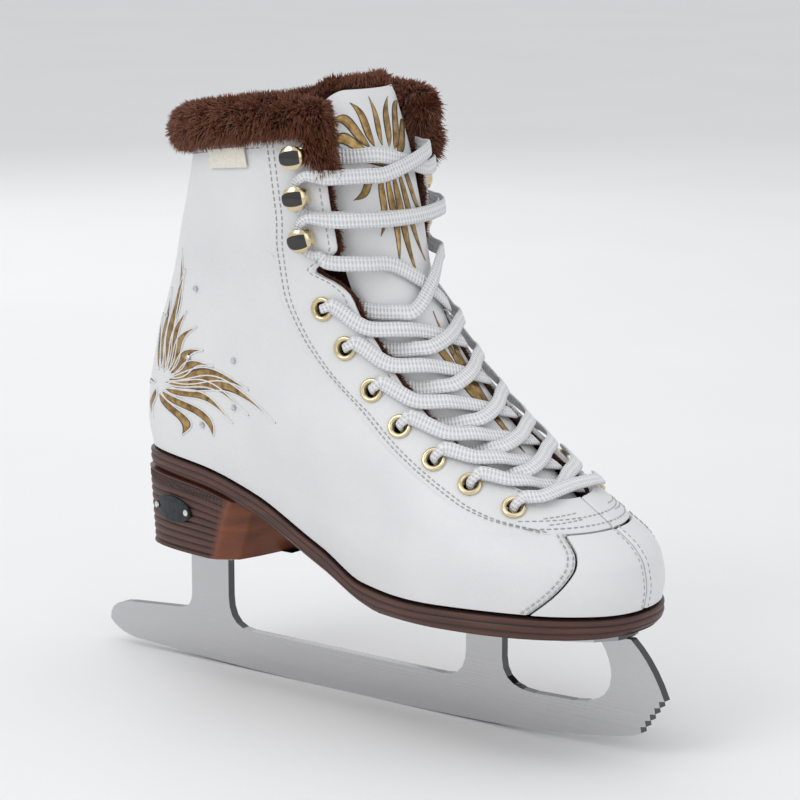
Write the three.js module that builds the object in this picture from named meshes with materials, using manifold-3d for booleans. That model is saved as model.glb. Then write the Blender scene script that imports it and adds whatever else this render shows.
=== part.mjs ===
// A lady's figure skate for the right foot: a padded, fur-lined boot on a stacked heel, with a
// screwed-on steel blade and a flat lace. Millimetres. +X runs towards the toe, +Y towards the
// inner side of the foot, +Z up. The origin is the point where the blade touches the ice.
import * as THREE from 'three';
import { mergeVertices } from 'three/addons/utils/BufferGeometryUtils.js';
import Module from 'manifold-3d';

const wasm = await Module();
wasm.setup();

// ---------------------------------------------------------------- driving dimensions
const FIT = 0.3;                  // clearance between pieces that touch
const LEATHER = 2.0;              // thickness of the outer leather
const PADDING_GAP = 1.0;          // room between leather and lining
const LINING = 2.8;               // thickness of the plush lining
const FACING_GAP = 0.9;           // room between leather and the plush behind the lace holes
const FACING_LINING = 1.4;        // thickness of that plush
const BACKSTAY_HALF = 9;          // half width of the strip over the back seam
const THROAT_REVEAL = 1.6;        // how far the plush stands past the leather at the throat

const SOLE_THICKNESS = 8.5;       // layered outsole, feather line to its underside
const SOLE_MARGIN = 1.0;          // outsole stands past the upper all round
const HEEL_BOTTOM = 54.6;         // height of the heel's underside above the ice
const HEEL_TAPER = 2.0;           // heel block shortens this much towards its underside
const HEEL_NARROWING = 0.04;      // share of its width that it loses
const BOARD = 2.4;                // insole board thickness
const SEAT_HEIGHT = 101.2;        // flat heel seat of the footbed

const BLADE_THICKNESS = 4.0;      // steel blade
const CONTACT_FLAT = 10;          // short flat at the contact point
const ROCKER = 2300;              // main rocker radius
const SPIN_ROCKER = 500;          // tighter radius behind the toe picks
const SPIN_START = 70;            // where the tighter radius begins
const RUNNER_HEIGHT = 17.2;       // top edge of the runner between the stanchions
const PLATE = 2.0;                // sole and heel plate thickness
const SOLE_PLATE_TOP = 49.5;      // the sole plate's upper face
const TOOTH_COUNT = 5;            // toe picks

const SCREW_HEAD_RADIUS = 3.5;
const SCREW_HEAD = 1.3;
const SCREW_RADIUS = 1.9;
const SCREW_LENGTH = 8;
const SCREW_HOLE = SCREW_RADIUS + FIT;

const EYELET_RADIUS = 4.9;        // outer flange
const EYELET_HOLE = 2.7;
const EYELET_BARREL = 3.3;
const EYELET_RISE = 1.0;          // flange height above the leather
const HOOK_LENGTH = 10;           // speed hook, from its bend to its free end
const HOOK_WIDTH = 9;
const HOOK_GAP = 2.8;             // room for the lace under the hook
const HOOK_SHEET = 0.9;
const HOOK_SHANK = 1.6;

const LACE_FLAT = [6.2, 1.3];     // width and thickness where it lies flat
const LACE_BUNCHED = [3.7, 2.0];  // where it squeezes through an eyelet
const LACE_HOOKED = [3.9, 1.5];   // where it bends round a hook
const AGLET_RADIUS = 1.9;
const AGLET_LENGTH = 18;
const LACE_STEP = 7;              // longest piece of the lace between two cross-sections

const TONGUE_LEATHER = 1.6;
const TONGUE_PAD = 5.0;
const TONGUE_GAP = 0.9;           // between the tongue's leather and its lining
const TONGUE_HINGE_H = 0.205;     // the tongue is sewn in at this level
const TONGUE_TOP = 1.083;         // level of its top edge
const TONGUE_CROWN = 3.6;         // how much further in its sides lie than its middle
const COLLAR_RISE = 14;           // fur roll above the leather's top edge
const COLLAR_START = 0.86;        // angle at which the roll begins on each side
const COLLAR_CLEAR = 1.4;         // the roll stands off the leather and the lining

const BADGE_LENGTH = 25;
const BADGE_HEIGHT = 11;
const BADGE_CENTRE = [-77, 72.5];
const LABEL_SIZE = { from: 1.56, to: 1.97, low: 0.918, high: 0.972 };

// ---------------------------------------------------------------- smooth curves through stations
// A monotone cubic through a few [position, value] stations, straight beyond its ends.
function through(stations) {
  const t = stations.map((s) => s[0]);
  const v = stations.map((s) => s[1]);
  const last = t.length - 1;
  const slope = t.slice(1).map((x, i) => (v[i + 1] - v[i]) / (x - t[i]));
  const tangent = v.map((_, i) => {
    if (i === 0) return slope[0];
    if (i === last) return slope[last - 1];
    const [a, b] = [slope[i - 1], slope[i]];
    return a * b > 0 ? (2 * a * b) / (a + b) : 0;
  });
  return (x) => {
    if (x <= t[0]) return v[0] + tangent[0] * (x - t[0]);
    if (x >= t[last]) return v[last] + tangent[last] * (x - t[last]);
    let i = 0;
    while (x > t[i + 1]) i += 1;
    const w = t[i + 1] - t[i];
    const s = (x - t[i]) / w;
    const s2 = s * s;
    const s3 = s2 * s;
    return (2 * s3 - 3 * s2 + 1) * v[i] + (s3 - 2 * s2 + s) * w * tangent[i]
      + (-2 * s3 + 3 * s2) * v[i + 1] + (s3 - s2) * w * tangent[i + 1];
  };
}

const lerp = THREE.MathUtils.lerp;
const smooth = (a, b, x) => THREE.MathUtils.smoothstep(x, a, b);
const steps = (n, f) => Array.from({ length: n + 1 }, (_, i) => f(i / n, i));

// Splits a curve(t), t from 0 to 1, into n pieces whose chords stray about equally from it, and
// returns the n + 1 values of t. Bends get short pieces and straight runs long ones.
function evenChords(curve, n) {
  const fine = 90;
  const points = steps(fine, curve);
  const reach = [0];
  for (let i = 1; i <= fine; i += 1) {
    const piece = points[i].clone().sub(points[i - 1]);
    const before = points[Math.max(i - 1, 1)].clone().sub(points[Math.max(i - 2, 0)]);
    const turn = Math.min(piece.angleTo(before), 0.5);
    reach.push(reach[i - 1] + Math.sqrt(piece.length() * (turn + piece.length() / 160)));
  }
  return steps(n, (share) => {
    const goal = share * reach[fine];
    let i = 1;
    while (i < fine && reach[i] < goal) i += 1;
    return (i - 1 + (goal - reach[i - 1]) / (reach[i] - reach[i - 1])) / fine;
  });
}

// ---------------------------------------------------------------- the boot's outer surface
// A level h runs from 0 at the feather line, where upper meets sole, to 1 at the collar. The angle
// turns from 0 at the toe through the outer side (pi/2) to the back (pi) and the inner side.
const featherZ = through([[-100, 96.5], [-60, 93.5], [-26, 86], [10, 69.5], [35, 59.5], [60, 58.2],
  [100, 58.8], [130, 58.4], [146, 57.5]]);
const frontX = through([[0, 142.5], [0.05, 144], [0.1, 142.5], [0.135, 138], [0.165, 130], [0.2, 120],
  [0.228, 112], [0.28, 98], [0.35, 83], [0.45, 64.5], [0.55, 50.5], [0.65, 41.5], [0.75, 35.5],
  [0.85, 31.5], [1, 27.5], [1.1, 25]]);
const backX = through([[0, -99], [0.1, -102.5], [0.2, -103], [0.35, -100], [0.5, -93.5], [0.7, -84.5],
  [0.85, -77.5], [1, -71.5], [1.1, -70]]);
const widestX = through([[0, 72], [0.12, 66], [0.228, 45], [0.4, 5], [0.6, -12], [1, -22]]);
const frontPower = through([[0, 2.3], [0.15, 2.2], [1.1, 2.2]]);
const backPower = through([[0, 4.2], [0.15, 3.4], [0.3, 2.8], [0.6, 2.4], [1, 2.2]]);
const heelWidth = through([[0, 31], [0.15, 34], [0.35, 33], [0.55, 32.5], [0.75, 38], [1, 42]]);
const waistWidth = through([[0, 33], [0.1, 36], [0.25, 38], [0.4, 35.5], [0.6, 34], [0.8, 40],
  [1, 42.5]]);
const ballWidth = through([[0, 45.5], [0.08, 47], [0.16, 44.5], [0.24, 41], [0.4, 37], [0.6, 34],
  [0.8, 40], [1, 42.5]]);
const COLLAR_FRONT = 241;         // height of the collar edge at the front
const COLLAR_DIP = 14;            // the collar is lower at the back
const TOE_SHIFT = 4;              // the toe leans towards the inner side

function widthAt(x, h) {
  const a = smooth(-60, -5, x);
  const b = smooth(5, 75, x);
  return heelWidth(h) * (1 - a) + waistWidth(h) * a * (1 - b) + ballWidth(h) * a * b;
}
const middleY = (x) => TOE_SHIFT * smooth(30, 146, x);
const collarZ = (angle) => COLLAR_FRONT - COLLAR_DIP * ((1 - Math.cos(angle)) / 2) ** 1.5;

function surface(angle, h) {
  const c = Math.cos(angle);
  const s = Math.sin(angle);
  const power = c > 0 ? frontPower(h) : backPower(h);
  const reach = c > 0 ? frontX(h) - widestX(h) : widestX(h) - backX(h);
  const r = (Math.abs(c) ** power + Math.abs(s) ** power) ** (-1 / power);
  const x = widestX(h) + reach * c * r;
  const y = middleY(x) - widthAt(x, h) * s * r;
  return new THREE.Vector3(x, y, (1 - h) * featherZ(x) + h * collarZ(angle));
}

// Half the boot's width at x and level h, from the same closed curve.
function halfWidth(x, h) {
  const power = x > widestX(h) ? frontPower(h) : backPower(h);
  const reach = x > widestX(h) ? frontX(h) - widestX(h) : widestX(h) - backX(h);
  const u = Math.min(1, Math.abs(x - widestX(h)) / reach);
  return widthAt(x, h) * (1 - u ** power) ** (1 / power);
}

const STEP = 0.001;
const alongAngle = (a, h) => surface(a + STEP, h).sub(surface(a - STEP, h)).divideScalar(2 * STEP);
const alongLevel = (a, h) => surface(a, h + STEP).sub(surface(a, h - STEP)).divideScalar(2 * STEP);
const normal = (a, h) => alongLevel(a, h).cross(alongAngle(a, h)).normalize();
const offset = (a, h, d) => surface(a, h).addScaledVector(normal(a, h), d);

// ---------------------------------------------------------------- seams and edges of the upper
const TOE_TOP = 0.168;            // level of the stitching behind the toe
const THROAT_END = 0.224;         // level of the throat's rounded end
const SLIT = 0.006;               // half the gap of the centre front seam
const toeSeam = through([[0, 0.955], [0.05, 0.79], [0.1, 0.645], [0.133, 0.575], [TOE_TOP, 0.52]]);
const throat = through([[THROAT_END, SLIT], [0.226, 0.22], [0.233, 0.36], [0.25, 0.506], [0.29, 0.62],
  [0.349, 0.695], [0.45, 0.789], [0.527, 0.83], [0.59, 0.9], [0.624, 0.924], [0.645, 1.0],
  [0.667, 1.167], [0.695, 1.05], [0.73, 0.91], [0.8, 0.885], [1, 0.87]]);
const EYELETS = [[1.189, 0.584], [1.104, 0.511], [1.036, 0.436], [0.987, 0.368], [0.929, 0.307],
  [0.839, 0.261], [0.699, 0.218]];
const HOOKS = [[1.099, 0.941], [1.126, 0.845], [1.158, 0.748]];
const SIDES = { lateral: 1, medial: -1 };
// The double row of stitches that runs down the lacing panel and round below the throat.
const stitchLine = through([[0.172, 0.668], [0.198, 0.964], [0.226, 1.068], [0.321, 1.167], [0.383, 1.2],
  [0.454, 1.378], [0.508, 1.455], [0.603, 1.517], [0.703, 1.472], [0.802, 1.387], [1, 1.36]]);
const UPPER_FOOT = 0.006;         // level of the upper's lower edge, just clear of the sole

// ---------------------------------------------------------------- closed bodies
function bodyFrom(points, faces) {
  const geometry = new THREE.BufferGeometry();
  const numbers = points.flatMap((p) => [p.x, p.y, p.z]);
  geometry.setAttribute('position', new THREE.Float32BufferAttribute(numbers, 3));
  geometry.setIndex(faces);
  return geometry;
}

// A sheet with thickness: outer(i, j) and inner(i, j) are grids of points, joined round their rims.
function sheet(columns, rows, outer, inner) {
  const points = [];
  const faces = [];
  for (const side of [outer, inner]) {
    for (let j = 0; j <= rows; j += 1) {
      for (let i = 0; i <= columns; i += 1) points.push(side(i / columns, j / rows, i, j));
    }
  }
  const half = (columns + 1) * (rows + 1);
  const at = (i, j, k) => k * half + j * (columns + 1) + i;
  const quad = (a, b, c, d) => faces.push(a, b, c, a, c, d);
  for (let j = 0; j < rows; j += 1) {
    for (let i = 0; i < columns; i += 1) {
      quad(at(i, j, 0), at(i + 1, j, 0), at(i + 1, j + 1, 0), at(i, j + 1, 0));
      quad(at(i, j, 1), at(i, j + 1, 1), at(i + 1, j + 1, 1), at(i + 1, j, 1));
    }
    quad(at(0, j, 0), at(0, j + 1, 0), at(0, j + 1, 1), at(0, j, 1));
    quad(at(columns, j, 0), at(columns, j, 1), at(columns, j + 1, 1), at(columns, j + 1, 0));
  }
  for (let i = 0; i < columns; i += 1) {
    quad(at(i, 0, 0), at(i, 0, 1), at(i + 1, 0, 1), at(i + 1, 0, 0));
    quad(at(i, rows, 0), at(i + 1, rows, 0), at(i + 1, rows, 1), at(i, rows, 1));
  }
  return outward(bodyFrom(points, faces));
}

// Turns a closed body's faces outwards, whatever side it was built on.
function outward(geometry) {
  const index = geometry.getIndex().array;
  const p = geometry.getAttribute('position');
  const [a, b, c] = [new THREE.Vector3(), new THREE.Vector3(), new THREE.Vector3()];
  let volume = 0;
  for (let i = 0; i < index.length; i += 3) {
    a.fromBufferAttribute(p, index[i]);
    b.fromBufferAttribute(p, index[i + 1]);
    c.fromBufferAttribute(p, index[i + 2]);
    volume += a.dot(b.cross(c));
  }
  if (volume < 0) {
    for (let i = 0; i < index.length; i += 3) [index[i], index[i + 1]] = [index[i + 1], index[i]];
  }
  return geometry;
}

// A stack of rings with the same number of points, capped at both ends. Point 0 of a ring is its
// front tip and the middle point its back tip, so a cap pairs the two sides.
function stack(rings) {
  const n = rings[0].length;
  const points = rings.flat();
  const faces = [];
  const quad = (a, b, c, d) => faces.push(a, b, c, a, c, d);
  for (let k = 0; k + 1 < rings.length; k += 1) {
    for (let i = 0; i < n; i += 1) {
      const next = (i + 1) % n;
      quad(k * n + i, k * n + next, (k + 1) * n + next, (k + 1) * n + i);
    }
  }
  const last = (rings.length - 1) * n;
  for (let i = 0; i < n / 2; i += 1) {
    const mirror = (n - i) % n;
    const corners = [i, i + 1, n - i - 1, mirror];
    const [p, q, r, s] = corners;
    if (q !== r) faces.push(p, r, q, last + p, last + q, last + r);
    if (p !== s) faces.push(p, s, r, last + p, last + r, last + s);
  }
  return outward(bodyFrom(points, faces));
}

// The triangles that fill a flat outline, all turned the way the outline runs.
function fill(outline) {
  const flat = outline.map(([x, y]) => new THREE.Vector2(x, y));
  const turn = Math.sign(THREE.ShapeUtils.area(flat));
  return THREE.ShapeUtils.triangulateShape(flat, []).map((triangle) => {
    const same = Math.sign(THREE.ShapeUtils.area(triangle.map((i) => flat[i]))) === turn;
    return same ? triangle : triangle.toReversed();
  });
}

// Rings of the same number of points joined in order, with end caps that fill the flat outlines of
// the first and the last ring.
function loft(rings, first, last = first) {
  const n = first.length;
  const faces = [];
  for (let k = 0; k + 1 < rings.length; k += 1) {
    for (let i = 0; i < n; i += 1) {
      const [a, b] = [k * n + i, k * n + ((i + 1) % n)];
      faces.push(a, b, b + n, a, b + n, a + n);
    }
  }
  const end = (rings.length - 1) * n;
  for (const [a, b, c] of fill(first)) faces.push(c, b, a);
  for (const [a, b, c] of fill(last)) faces.push(end + a, end + b, end + c);
  return outward(bodyFrom(rings.flat(), faces));
}

// A closed tube of a rectangular section along given frames {at, wide, deep} with half sizes.
function strap(frames) {
  const corners = [[1, 1], [-1, 1], [-1, -1], [1, -1]];
  return loft(frames.map(({ at, wide, deep }) => corners.map(([u, v]) => at.clone()
    .addScaledVector(wide, u).addScaledVector(deep, v))), corners);
}

function solid(geometry) {
  const bare = geometry.clone();
  bare.deleteAttribute('normal');
  bare.deleteAttribute('uv');
  const merged = mergeVertices(bare, 1e-4);
  return new wasm.Manifold(new wasm.Mesh({
    numProp: 3,
    vertProperties: merged.getAttribute('position').array,
    triVerts: new Uint32Array(merged.getIndex().array),
  }));
}

function geometryOf(manifold) {
  const mesh = manifold.getMesh();
  const geometry = new THREE.BufferGeometry();
  geometry.setAttribute('position', new THREE.BufferAttribute(mesh.vertProperties, 3));
  geometry.setIndex(new THREE.BufferAttribute(mesh.triVerts, 1));
  return geometry;
}

const cut = (geometry, tools) => geometryOf(
  tools.reduce((s, t) => s.subtract(solid(t)), solid(geometry)),
);
const join = (first, ...others) => geometryOf(
  others.reduce((s, t) => s.add(solid(t)), solid(first)),
);

// Turns a geometry whose local axes are u, v, w (w out of the surface) to a place on the boot.
function seated(geometry, at, u, v, w) {
  return geometry.applyMatrix4(new THREE.Matrix4().makeBasis(u, v, w).setPosition(at));
}

// The frame of a fitting at (angle, level) on one side: `in` points to the throat, `up` along it.
function fittingFrame([angle, h], side) {
  const a = side * angle;
  const out = normal(a, h);
  const up = alongLevel(a, h).normalize();
  const inwards = up.clone().cross(out).multiplyScalar(side);
  const toThroat = alongAngle(a, h).multiplyScalar(-side);
  if (inwards.dot(toThroat) < 0) inwards.negate();
  return { at: surface(a, h), out, up, in: inwards };
}

function onFitting(geometry, frame) {
  const side = frame.in.clone().cross(frame.up).dot(frame.out) > 0 ? 1 : -1;
  return seated(geometry, frame.at, frame.in, frame.up.clone().multiplyScalar(side), frame.out);
}

const rod = (radius, low, high, sides = 12) => new THREE.CylinderGeometry(radius, radius, high - low, sides)
  .rotateX(Math.PI / 2).translate(0, 0, (low + high) / 2);

// ---------------------------------------------------------------- sub-parts
const skate = new THREE.Group();

function add(name, geometry, color, roughness = 0.5, metalness = 0) {
  const mesh = new THREE.Mesh(geometry, new THREE.MeshStandardMaterial({ color, roughness, metalness }));
  mesh.name = name;
  skate.add(mesh);
}

const WHITE = 0xf1f2f3;
const BROWN_FUR = 0x3f1d12;
const SOLE_BROWN = 0x5a2a1b;
const STEEL = 0xb9bcbd;
const GOLD = 0xcdb98a;

// -------- outer leather
const HOLE_TOOLS = Object.fromEntries(Object.entries(SIDES).map(([name, side]) => [name, [
  ...EYELETS.map((e) => onFitting(rod(EYELET_BARREL + FIT, -9, 3, 10), fittingFrame(e, side))),
  ...HOOKS.map((e) => onFitting(rod(HOOK_SHANK + FIT, -9, 3, 10), fittingFrame(e, side))),
]]));

const backEdge = (h) => Math.PI - (BACKSTAY_HALF + FIT / 2) / alongAngle(Math.PI, h).length();

// The quarter's front boundary climbs the toe seam, crosses behind the toe to the centre seam,
// and follows the throat edge up to the collar. Each entry: [angle, level there, level at the back].
function quarterRows() {
  const seamGap = 0.01;
  const rows = steps(4, (t) => {
    const h = lerp(UPPER_FOOT, TOE_TOP, t);
    return [toeSeam(h) + seamGap, h, lerp(UPPER_FOOT, 0.14, t)];
  });
  const crossing = TOE_TOP + 0.004;
  rows.push([toeSeam(TOE_TOP) + seamGap, crossing, 0.155], [0.3, crossing, 0.17], [SLIT, crossing, 0.185]);
  for (const h of [0.2243, 0.2256, 0.23, 0.25, 0.29, 0.35, 0.42, 0.49, 0.56, 0.62, 0.645, 0.667,
    0.695, 0.73, 0.82, 0.91, 1]) rows.push([throat(h), h, h]);
  return rows;
}

function quarter(side) {
  const rows = quarterRows();
  const columns = 14;
  const spots = rows.map(([angle, front, back]) => {
    const spot = (t) => [side * lerp(angle, backEdge(lerp(front, back, t)), t), lerp(front, back, t)];
    return evenChords((t) => surface(...spot(t)), columns).map(spot);
  });
  const layer = (d) => (t, _, i, j) => offset(...spots[j][i], d);
  return sheet(columns, rows.length - 1, layer(0), layer(-LEATHER));
}

function toeHalf(side) {
  const layer = (d) => (t, s) => {
    const h = lerp(UPPER_FOOT, TOE_TOP, s);
    return offset(side * lerp(SLIT, toeSeam(h) - 0.004, t), h, d);
  };
  return sheet(6, 6, layer(0), layer(-LEATHER));
}

for (const [name, side] of Object.entries(SIDES)) {
  add(`quarter_${name}`, cut(quarter(side), HOLE_TOOLS[name]), WHITE, 0.45);
  add(`toe_${name}`, toeHalf(side), WHITE, 0.45);
}

const backstay = (d) => (t, s) => {
  const h = lerp(UPPER_FOOT, 1, s);
  const reach = (BACKSTAY_HALF - FIT / 2) / alongAngle(Math.PI, h).length();
  return offset(Math.PI + lerp(-reach, reach, t), h, d);
};
add('backstay', sheet(3, 13, backstay(0), backstay(-LEATHER)), WHITE, 0.45);

// -------- linings
const FACING_LEVELS = [0.192, 0.208, 0.216, 0.2255, 0.235, 0.25, 0.29, 0.35, 0.42, 0.49, 0.56, 0.62,
  0.645, 0.667, 0.695, 0.73, 0.82, 0.985];
const PANEL_GAP = 0.015;          // half the gap, as an angle, between the two linings

function facingLining(side) {
  const layer = (d) => (t, _, i, j) => {
    const h = FACING_LEVELS[j];
    const shows = smooth(0.235, 0.27, h);
    const reveal = (THROAT_REVEAL / alongAngle(throat(h), h).length()) * shows;
    const front = h < THROAT_END ? SLIT : throat(h + 0.005 * (1 - shows)) - reveal;
    return offset(side * lerp(front, stitchLine(h) - PANEL_GAP, t), h, d);
  };
  const depth = LEATHER + FACING_GAP;
  return sheet(5, FACING_LEVELS.length - 1, layer(-depth), layer(-depth - FACING_LINING));
}
for (const [name, side] of Object.entries(SIDES)) {
  add(`facing_lining_${name}`, cut(facingLining(side), HOLE_TOOLS[name]), BROWN_FUR, 0.95);
}

// The main lining wraps the foot from one facing round the heel to the other, and closes over the
// toes below the throat with a centre seam. Each entry: [level, angle where it starts].
const LINING_ROWS = [[0.012, SLIT], [0.05, SLIT], [0.1, SLIT], [0.145, SLIT], [0.168, SLIT], [0.174, 0.78],
  ...[0.192, 0.212, 0.25, 0.29, 0.35, 0.42, 0.52, 0.62, 0.73, 0.86, 1]
    .map((h) => [h, stitchLine(h) + PANEL_GAP])];
const LINING_DEPTH = LEATHER + PADDING_GAP;

function lining() {
  const columns = 26;
  const spots = LINING_ROWS.map(([h, front]) => {
    const spot = (t) => [lerp(front, 2 * Math.PI - front, t), h];
    return evenChords((t) => surface(...spot(t)), columns).map(spot);
  });
  const layer = (d) => (t, _, i, j) => offset(...spots[j][i], d);
  return sheet(columns, LINING_ROWS.length - 1, layer(-LINING_DEPTH), layer(-LINING_DEPTH - LINING));
}
add('lining', lining(), BROWN_FUR, 0.95);

// -------- sole, insole board, footbed and heel
const sideAngles = evenChords((t) => surface(t * Math.PI, 0), 24).map((t) => t * Math.PI);
const ringAngles = [...sideAngles, ...sideAngles.slice(1, -1).reverse().map((a) => 2 * Math.PI - a)];

// A ring round the foot, `inset` inside the upper's outer line, at the height that level(x) gives.
const footRing = (inset, level) => ringAngles.map((a) => {
  const base = surface(a, 0);
  const out = normal(a, 0).setZ(0).normalize();
  const p = base.addScaledVector(out, -inset);
  p.y = Math.abs(Math.sin(a)) < 1e-6 ? middleY(p.x) : p.y;
  return p.setZ(level(p.x));
});

const SOLE_FLAT = SOLE_PLATE_TOP + FIT;
const soleBottom = through([[-100, 96.5 - SOLE_THICKNESS], [-60, 93.5 - SOLE_THICKNESS],
  [-26, 86 - SOLE_THICKNESS], [10, 69.5 - SOLE_THICKNESS], [32, 60.6 - SOLE_THICKNESS],
  [46, SOLE_FLAT], [136, SOLE_FLAT], [150, SOLE_FLAT + 0.5]]);
const screwAt = (x, y, level) => rod(SCREW_HOLE, level - 4, level + SCREW_LENGTH, 10).translate(x, y, 0);
const SOLE_SCREWS = [[57, 15], [57, -15], [88, 18], [88, -18], [124, 13], [124, -11]];
const HEEL_SCREWS = [[-84, 11], [-84, -11], [-57, 12], [-57, -12]];

add('outsole', cut(stack([
  footRing(-SOLE_MARGIN, (x) => featherZ(x) - FIT),
  footRing(-SOLE_MARGIN, (x) => lerp(featherZ(x), soleBottom(x), 0.55)),
  footRing(-SOLE_MARGIN + 1.8, soleBottom),
]), SOLE_SCREWS.map(([x, y]) => screwAt(x, y, SOLE_FLAT))), SOLE_BROWN, 0.55);

const insideLining = LINING_DEPTH + LINING + 1;
const BOARD_GAP = 0.6;            // the shank curves, so the board bridges it slightly
add('insole_board', stack([
  footRing(insideLining, (x) => featherZ(x) + BOARD_GAP),
  footRing(insideLining, (x) => featherZ(x) + BOARD_GAP + BOARD),
]), 0xb08a5e, 0.8);

const seat = through([[-100, SEAT_HEIGHT], [-44, SEAT_HEIGHT], [-20, 90], [10, 75], [35, 65.2], [60, 63.9],
  [100, 64.5], [146, 63.2]]);
const bedBottom = (x) => featherZ(x) + BOARD_GAP + BOARD + FIT;
add('footbed', stack([
  footRing(insideLining, bedBottom),
  footRing(insideLining, seat),
]), BROWN_FUR, 0.95);

// The heel block: rounded at the back, with a bevelled outer front corner, and a breast that
// sweeps forward on the inner side and hollows up into the shank.
const HEEL_OVERLAP = 4;            // extra height that is then cut away along the sole
const heelLevel = (x, k) => lerp(soleBottom(x), HEEL_BOTTOM, k);
const heelSide = (x, k) => halfWidth(x + SOLE_MARGIN - HEEL_TAPER * k, 0) * (1 - HEEL_NARROWING * k);

function heelRing(k) {
  const level = Math.max(k, 0);
  const lateralX = lerp(-40, -51, level ** 0.8);
  const bevelX = lerp(-34, -43, level);
  const medialX = lerp(-18, -33, Math.sqrt(level));
  const back = backX(0) - SOLE_MARGIN + HEEL_TAPER * level;
  const arc = (from, side) => steps(9, (t) => {
    const x = lerp(from, back, Math.sin((t * Math.PI) / 2));
    return t === 1 ? [back, 0] : [x, middleY(x) - side * heelSide(x, level)];
  });
  const front = [[lerp(bevelX, medialX, 0.5), 4], [lerp(bevelX, medialX, 0.25), -12], [bevelX, -22]];
  const plan = [...front, ...arc(lateralX, 1), ...arc(medialX, -1).slice(0, -1).reverse()];
  const height = (x) => (k < 0 ? soleBottom(x) + HEEL_OVERLAP : heelLevel(x, k));
  return plan.map(([x, y]) => new THREE.Vector3(x, y, height(x)));
}

function heelBlock() {
  const rings = [-1, 0.05, 0.2, 0.5, 0.8, 1].map(heelRing);
  const outline = (ring) => ring.map((p) => [p.x, p.y]);
  return loft(rings, outline(rings[0]), outline(rings.at(-1)));
}
const underSole = stack([
  footRing(-SOLE_MARGIN - 8, (x) => soleBottom(x) - FIT),
  footRing(-SOLE_MARGIN - 8, (x) => soleBottom(x) + 3 * HEEL_OVERLAP),
]);
const heelScrewHoles = HEEL_SCREWS.map(([x, y]) => screwAt(x, y, HEEL_BOTTOM));
add('heel_block', cut(heelBlock(), [underSole, ...heelScrewHoles]), SOLE_BROWN, 0.6);

// -------- blade, plates and screws
const rockerZ = (x) => {
  const beyond = Math.max(0, Math.abs(x) - CONTACT_FLAT / 2);
  if (x < SPIN_START) return beyond ** 2 / (2 * ROCKER);
  const start = SPIN_START - CONTACT_FLAT / 2;
  const run = x - SPIN_START;
  return start ** 2 / (2 * ROCKER) + (start / ROCKER) * run + run ** 2 / (2 * SPIN_ROCKER);
};
const HEEL_PLATE_TOP = HEEL_BOTTOM - FIT;
const REAR_TOP = HEEL_PLATE_TOP - PLATE - FIT;
const FRONT_TOP = SOLE_PLATE_TOP - PLATE - FIT;
const STANCHION = { rear: [-88, -67], front: [60.5, 78.5] };
const TAIL_X = -136.5;
const PICK_TOP = [156.5, 25];
const PICK_LOW = [146, 10.3];

function bladeOutline() {
  const s = new THREE.Shape();
  const [rearBack, rearFront] = STANCHION.rear;
  const [frontBack, frontFront] = STANCHION.front;
  s.moveTo(-CONTACT_FLAT / 2, 0);
  for (const x of [-30, -60, -90, -121]) s.lineTo(x, rockerZ(x));
  s.quadraticCurveTo(-132, 4.2, TAIL_X, 9.5);
  s.quadraticCurveTo(TAIL_X - 0.5, 18, -124, 19);
  s.lineTo(rearBack - 8, 21.3);
  s.quadraticCurveTo(rearBack, 21.6, rearBack, 29);
  s.lineTo(rearBack, REAR_TOP - 6);
  s.quadraticCurveTo(rearBack, REAR_TOP, rearBack - 3, REAR_TOP);
  s.lineTo(rearFront + 3, REAR_TOP);
  s.quadraticCurveTo(rearFront, REAR_TOP, rearFront, REAR_TOP - 6);
  s.lineTo(rearFront, 31);
  s.quadraticCurveTo(rearFront, RUNNER_HEIGHT, rearFront + 12.5, RUNNER_HEIGHT);
  s.lineTo(frontBack - 12, RUNNER_HEIGHT);
  s.quadraticCurveTo(frontBack, RUNNER_HEIGHT, frontBack, 30);
  s.lineTo(frontBack, FRONT_TOP - 5);
  s.quadraticCurveTo(frontBack, FRONT_TOP, frontBack - 3, FRONT_TOP);
  s.lineTo(frontFront + 3, FRONT_TOP);
  s.quadraticCurveTo(frontFront, FRONT_TOP, frontFront, FRONT_TOP - 5);
  s.lineTo(frontFront, 29);
  s.quadraticCurveTo(frontFront, RUNNER_HEIGHT, frontFront + 16, RUNNER_HEIGHT);
  s.lineTo(114, RUNNER_HEIGHT + 0.6);
  s.quadraticCurveTo(131.5, 19, 131.5, 31);
  s.quadraticCurveTo(131.5, 39, 124, FRONT_TOP);
  s.lineTo(140.5, FRONT_TOP);
  s.quadraticCurveTo(150.5, 39, ...PICK_TOP);
  for (let i = 0; i < TOOTH_COUNT; i += 1) {
    const [a, b] = [i / TOOTH_COUNT, (i + 1) / TOOTH_COUNT];
    s.lineTo(lerp(PICK_TOP[0], PICK_LOW[0], a) - 2.6, lerp(PICK_TOP[1], PICK_LOW[1], a) - 0.5);
    s.lineTo(lerp(PICK_TOP[0], PICK_LOW[0], b), lerp(PICK_TOP[1], PICK_LOW[1], b));
  }
  s.lineTo(142, 8.6);
  for (const x of [136, 128, 118, 106, 90, SPIN_START, 40, CONTACT_FLAT / 2]) s.lineTo(x, rockerZ(x));
  return s;
}

const bladeCut = { depth: BLADE_THICKNESS, bevelEnabled: false, curveSegments: 5 };
add('blade', new THREE.ExtrudeGeometry(bladeOutline(), bladeCut)
  .rotateX(Math.PI / 2).translate(0, BLADE_THICKNESS / 2, 0), STEEL, 0.35, 0.9);

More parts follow.
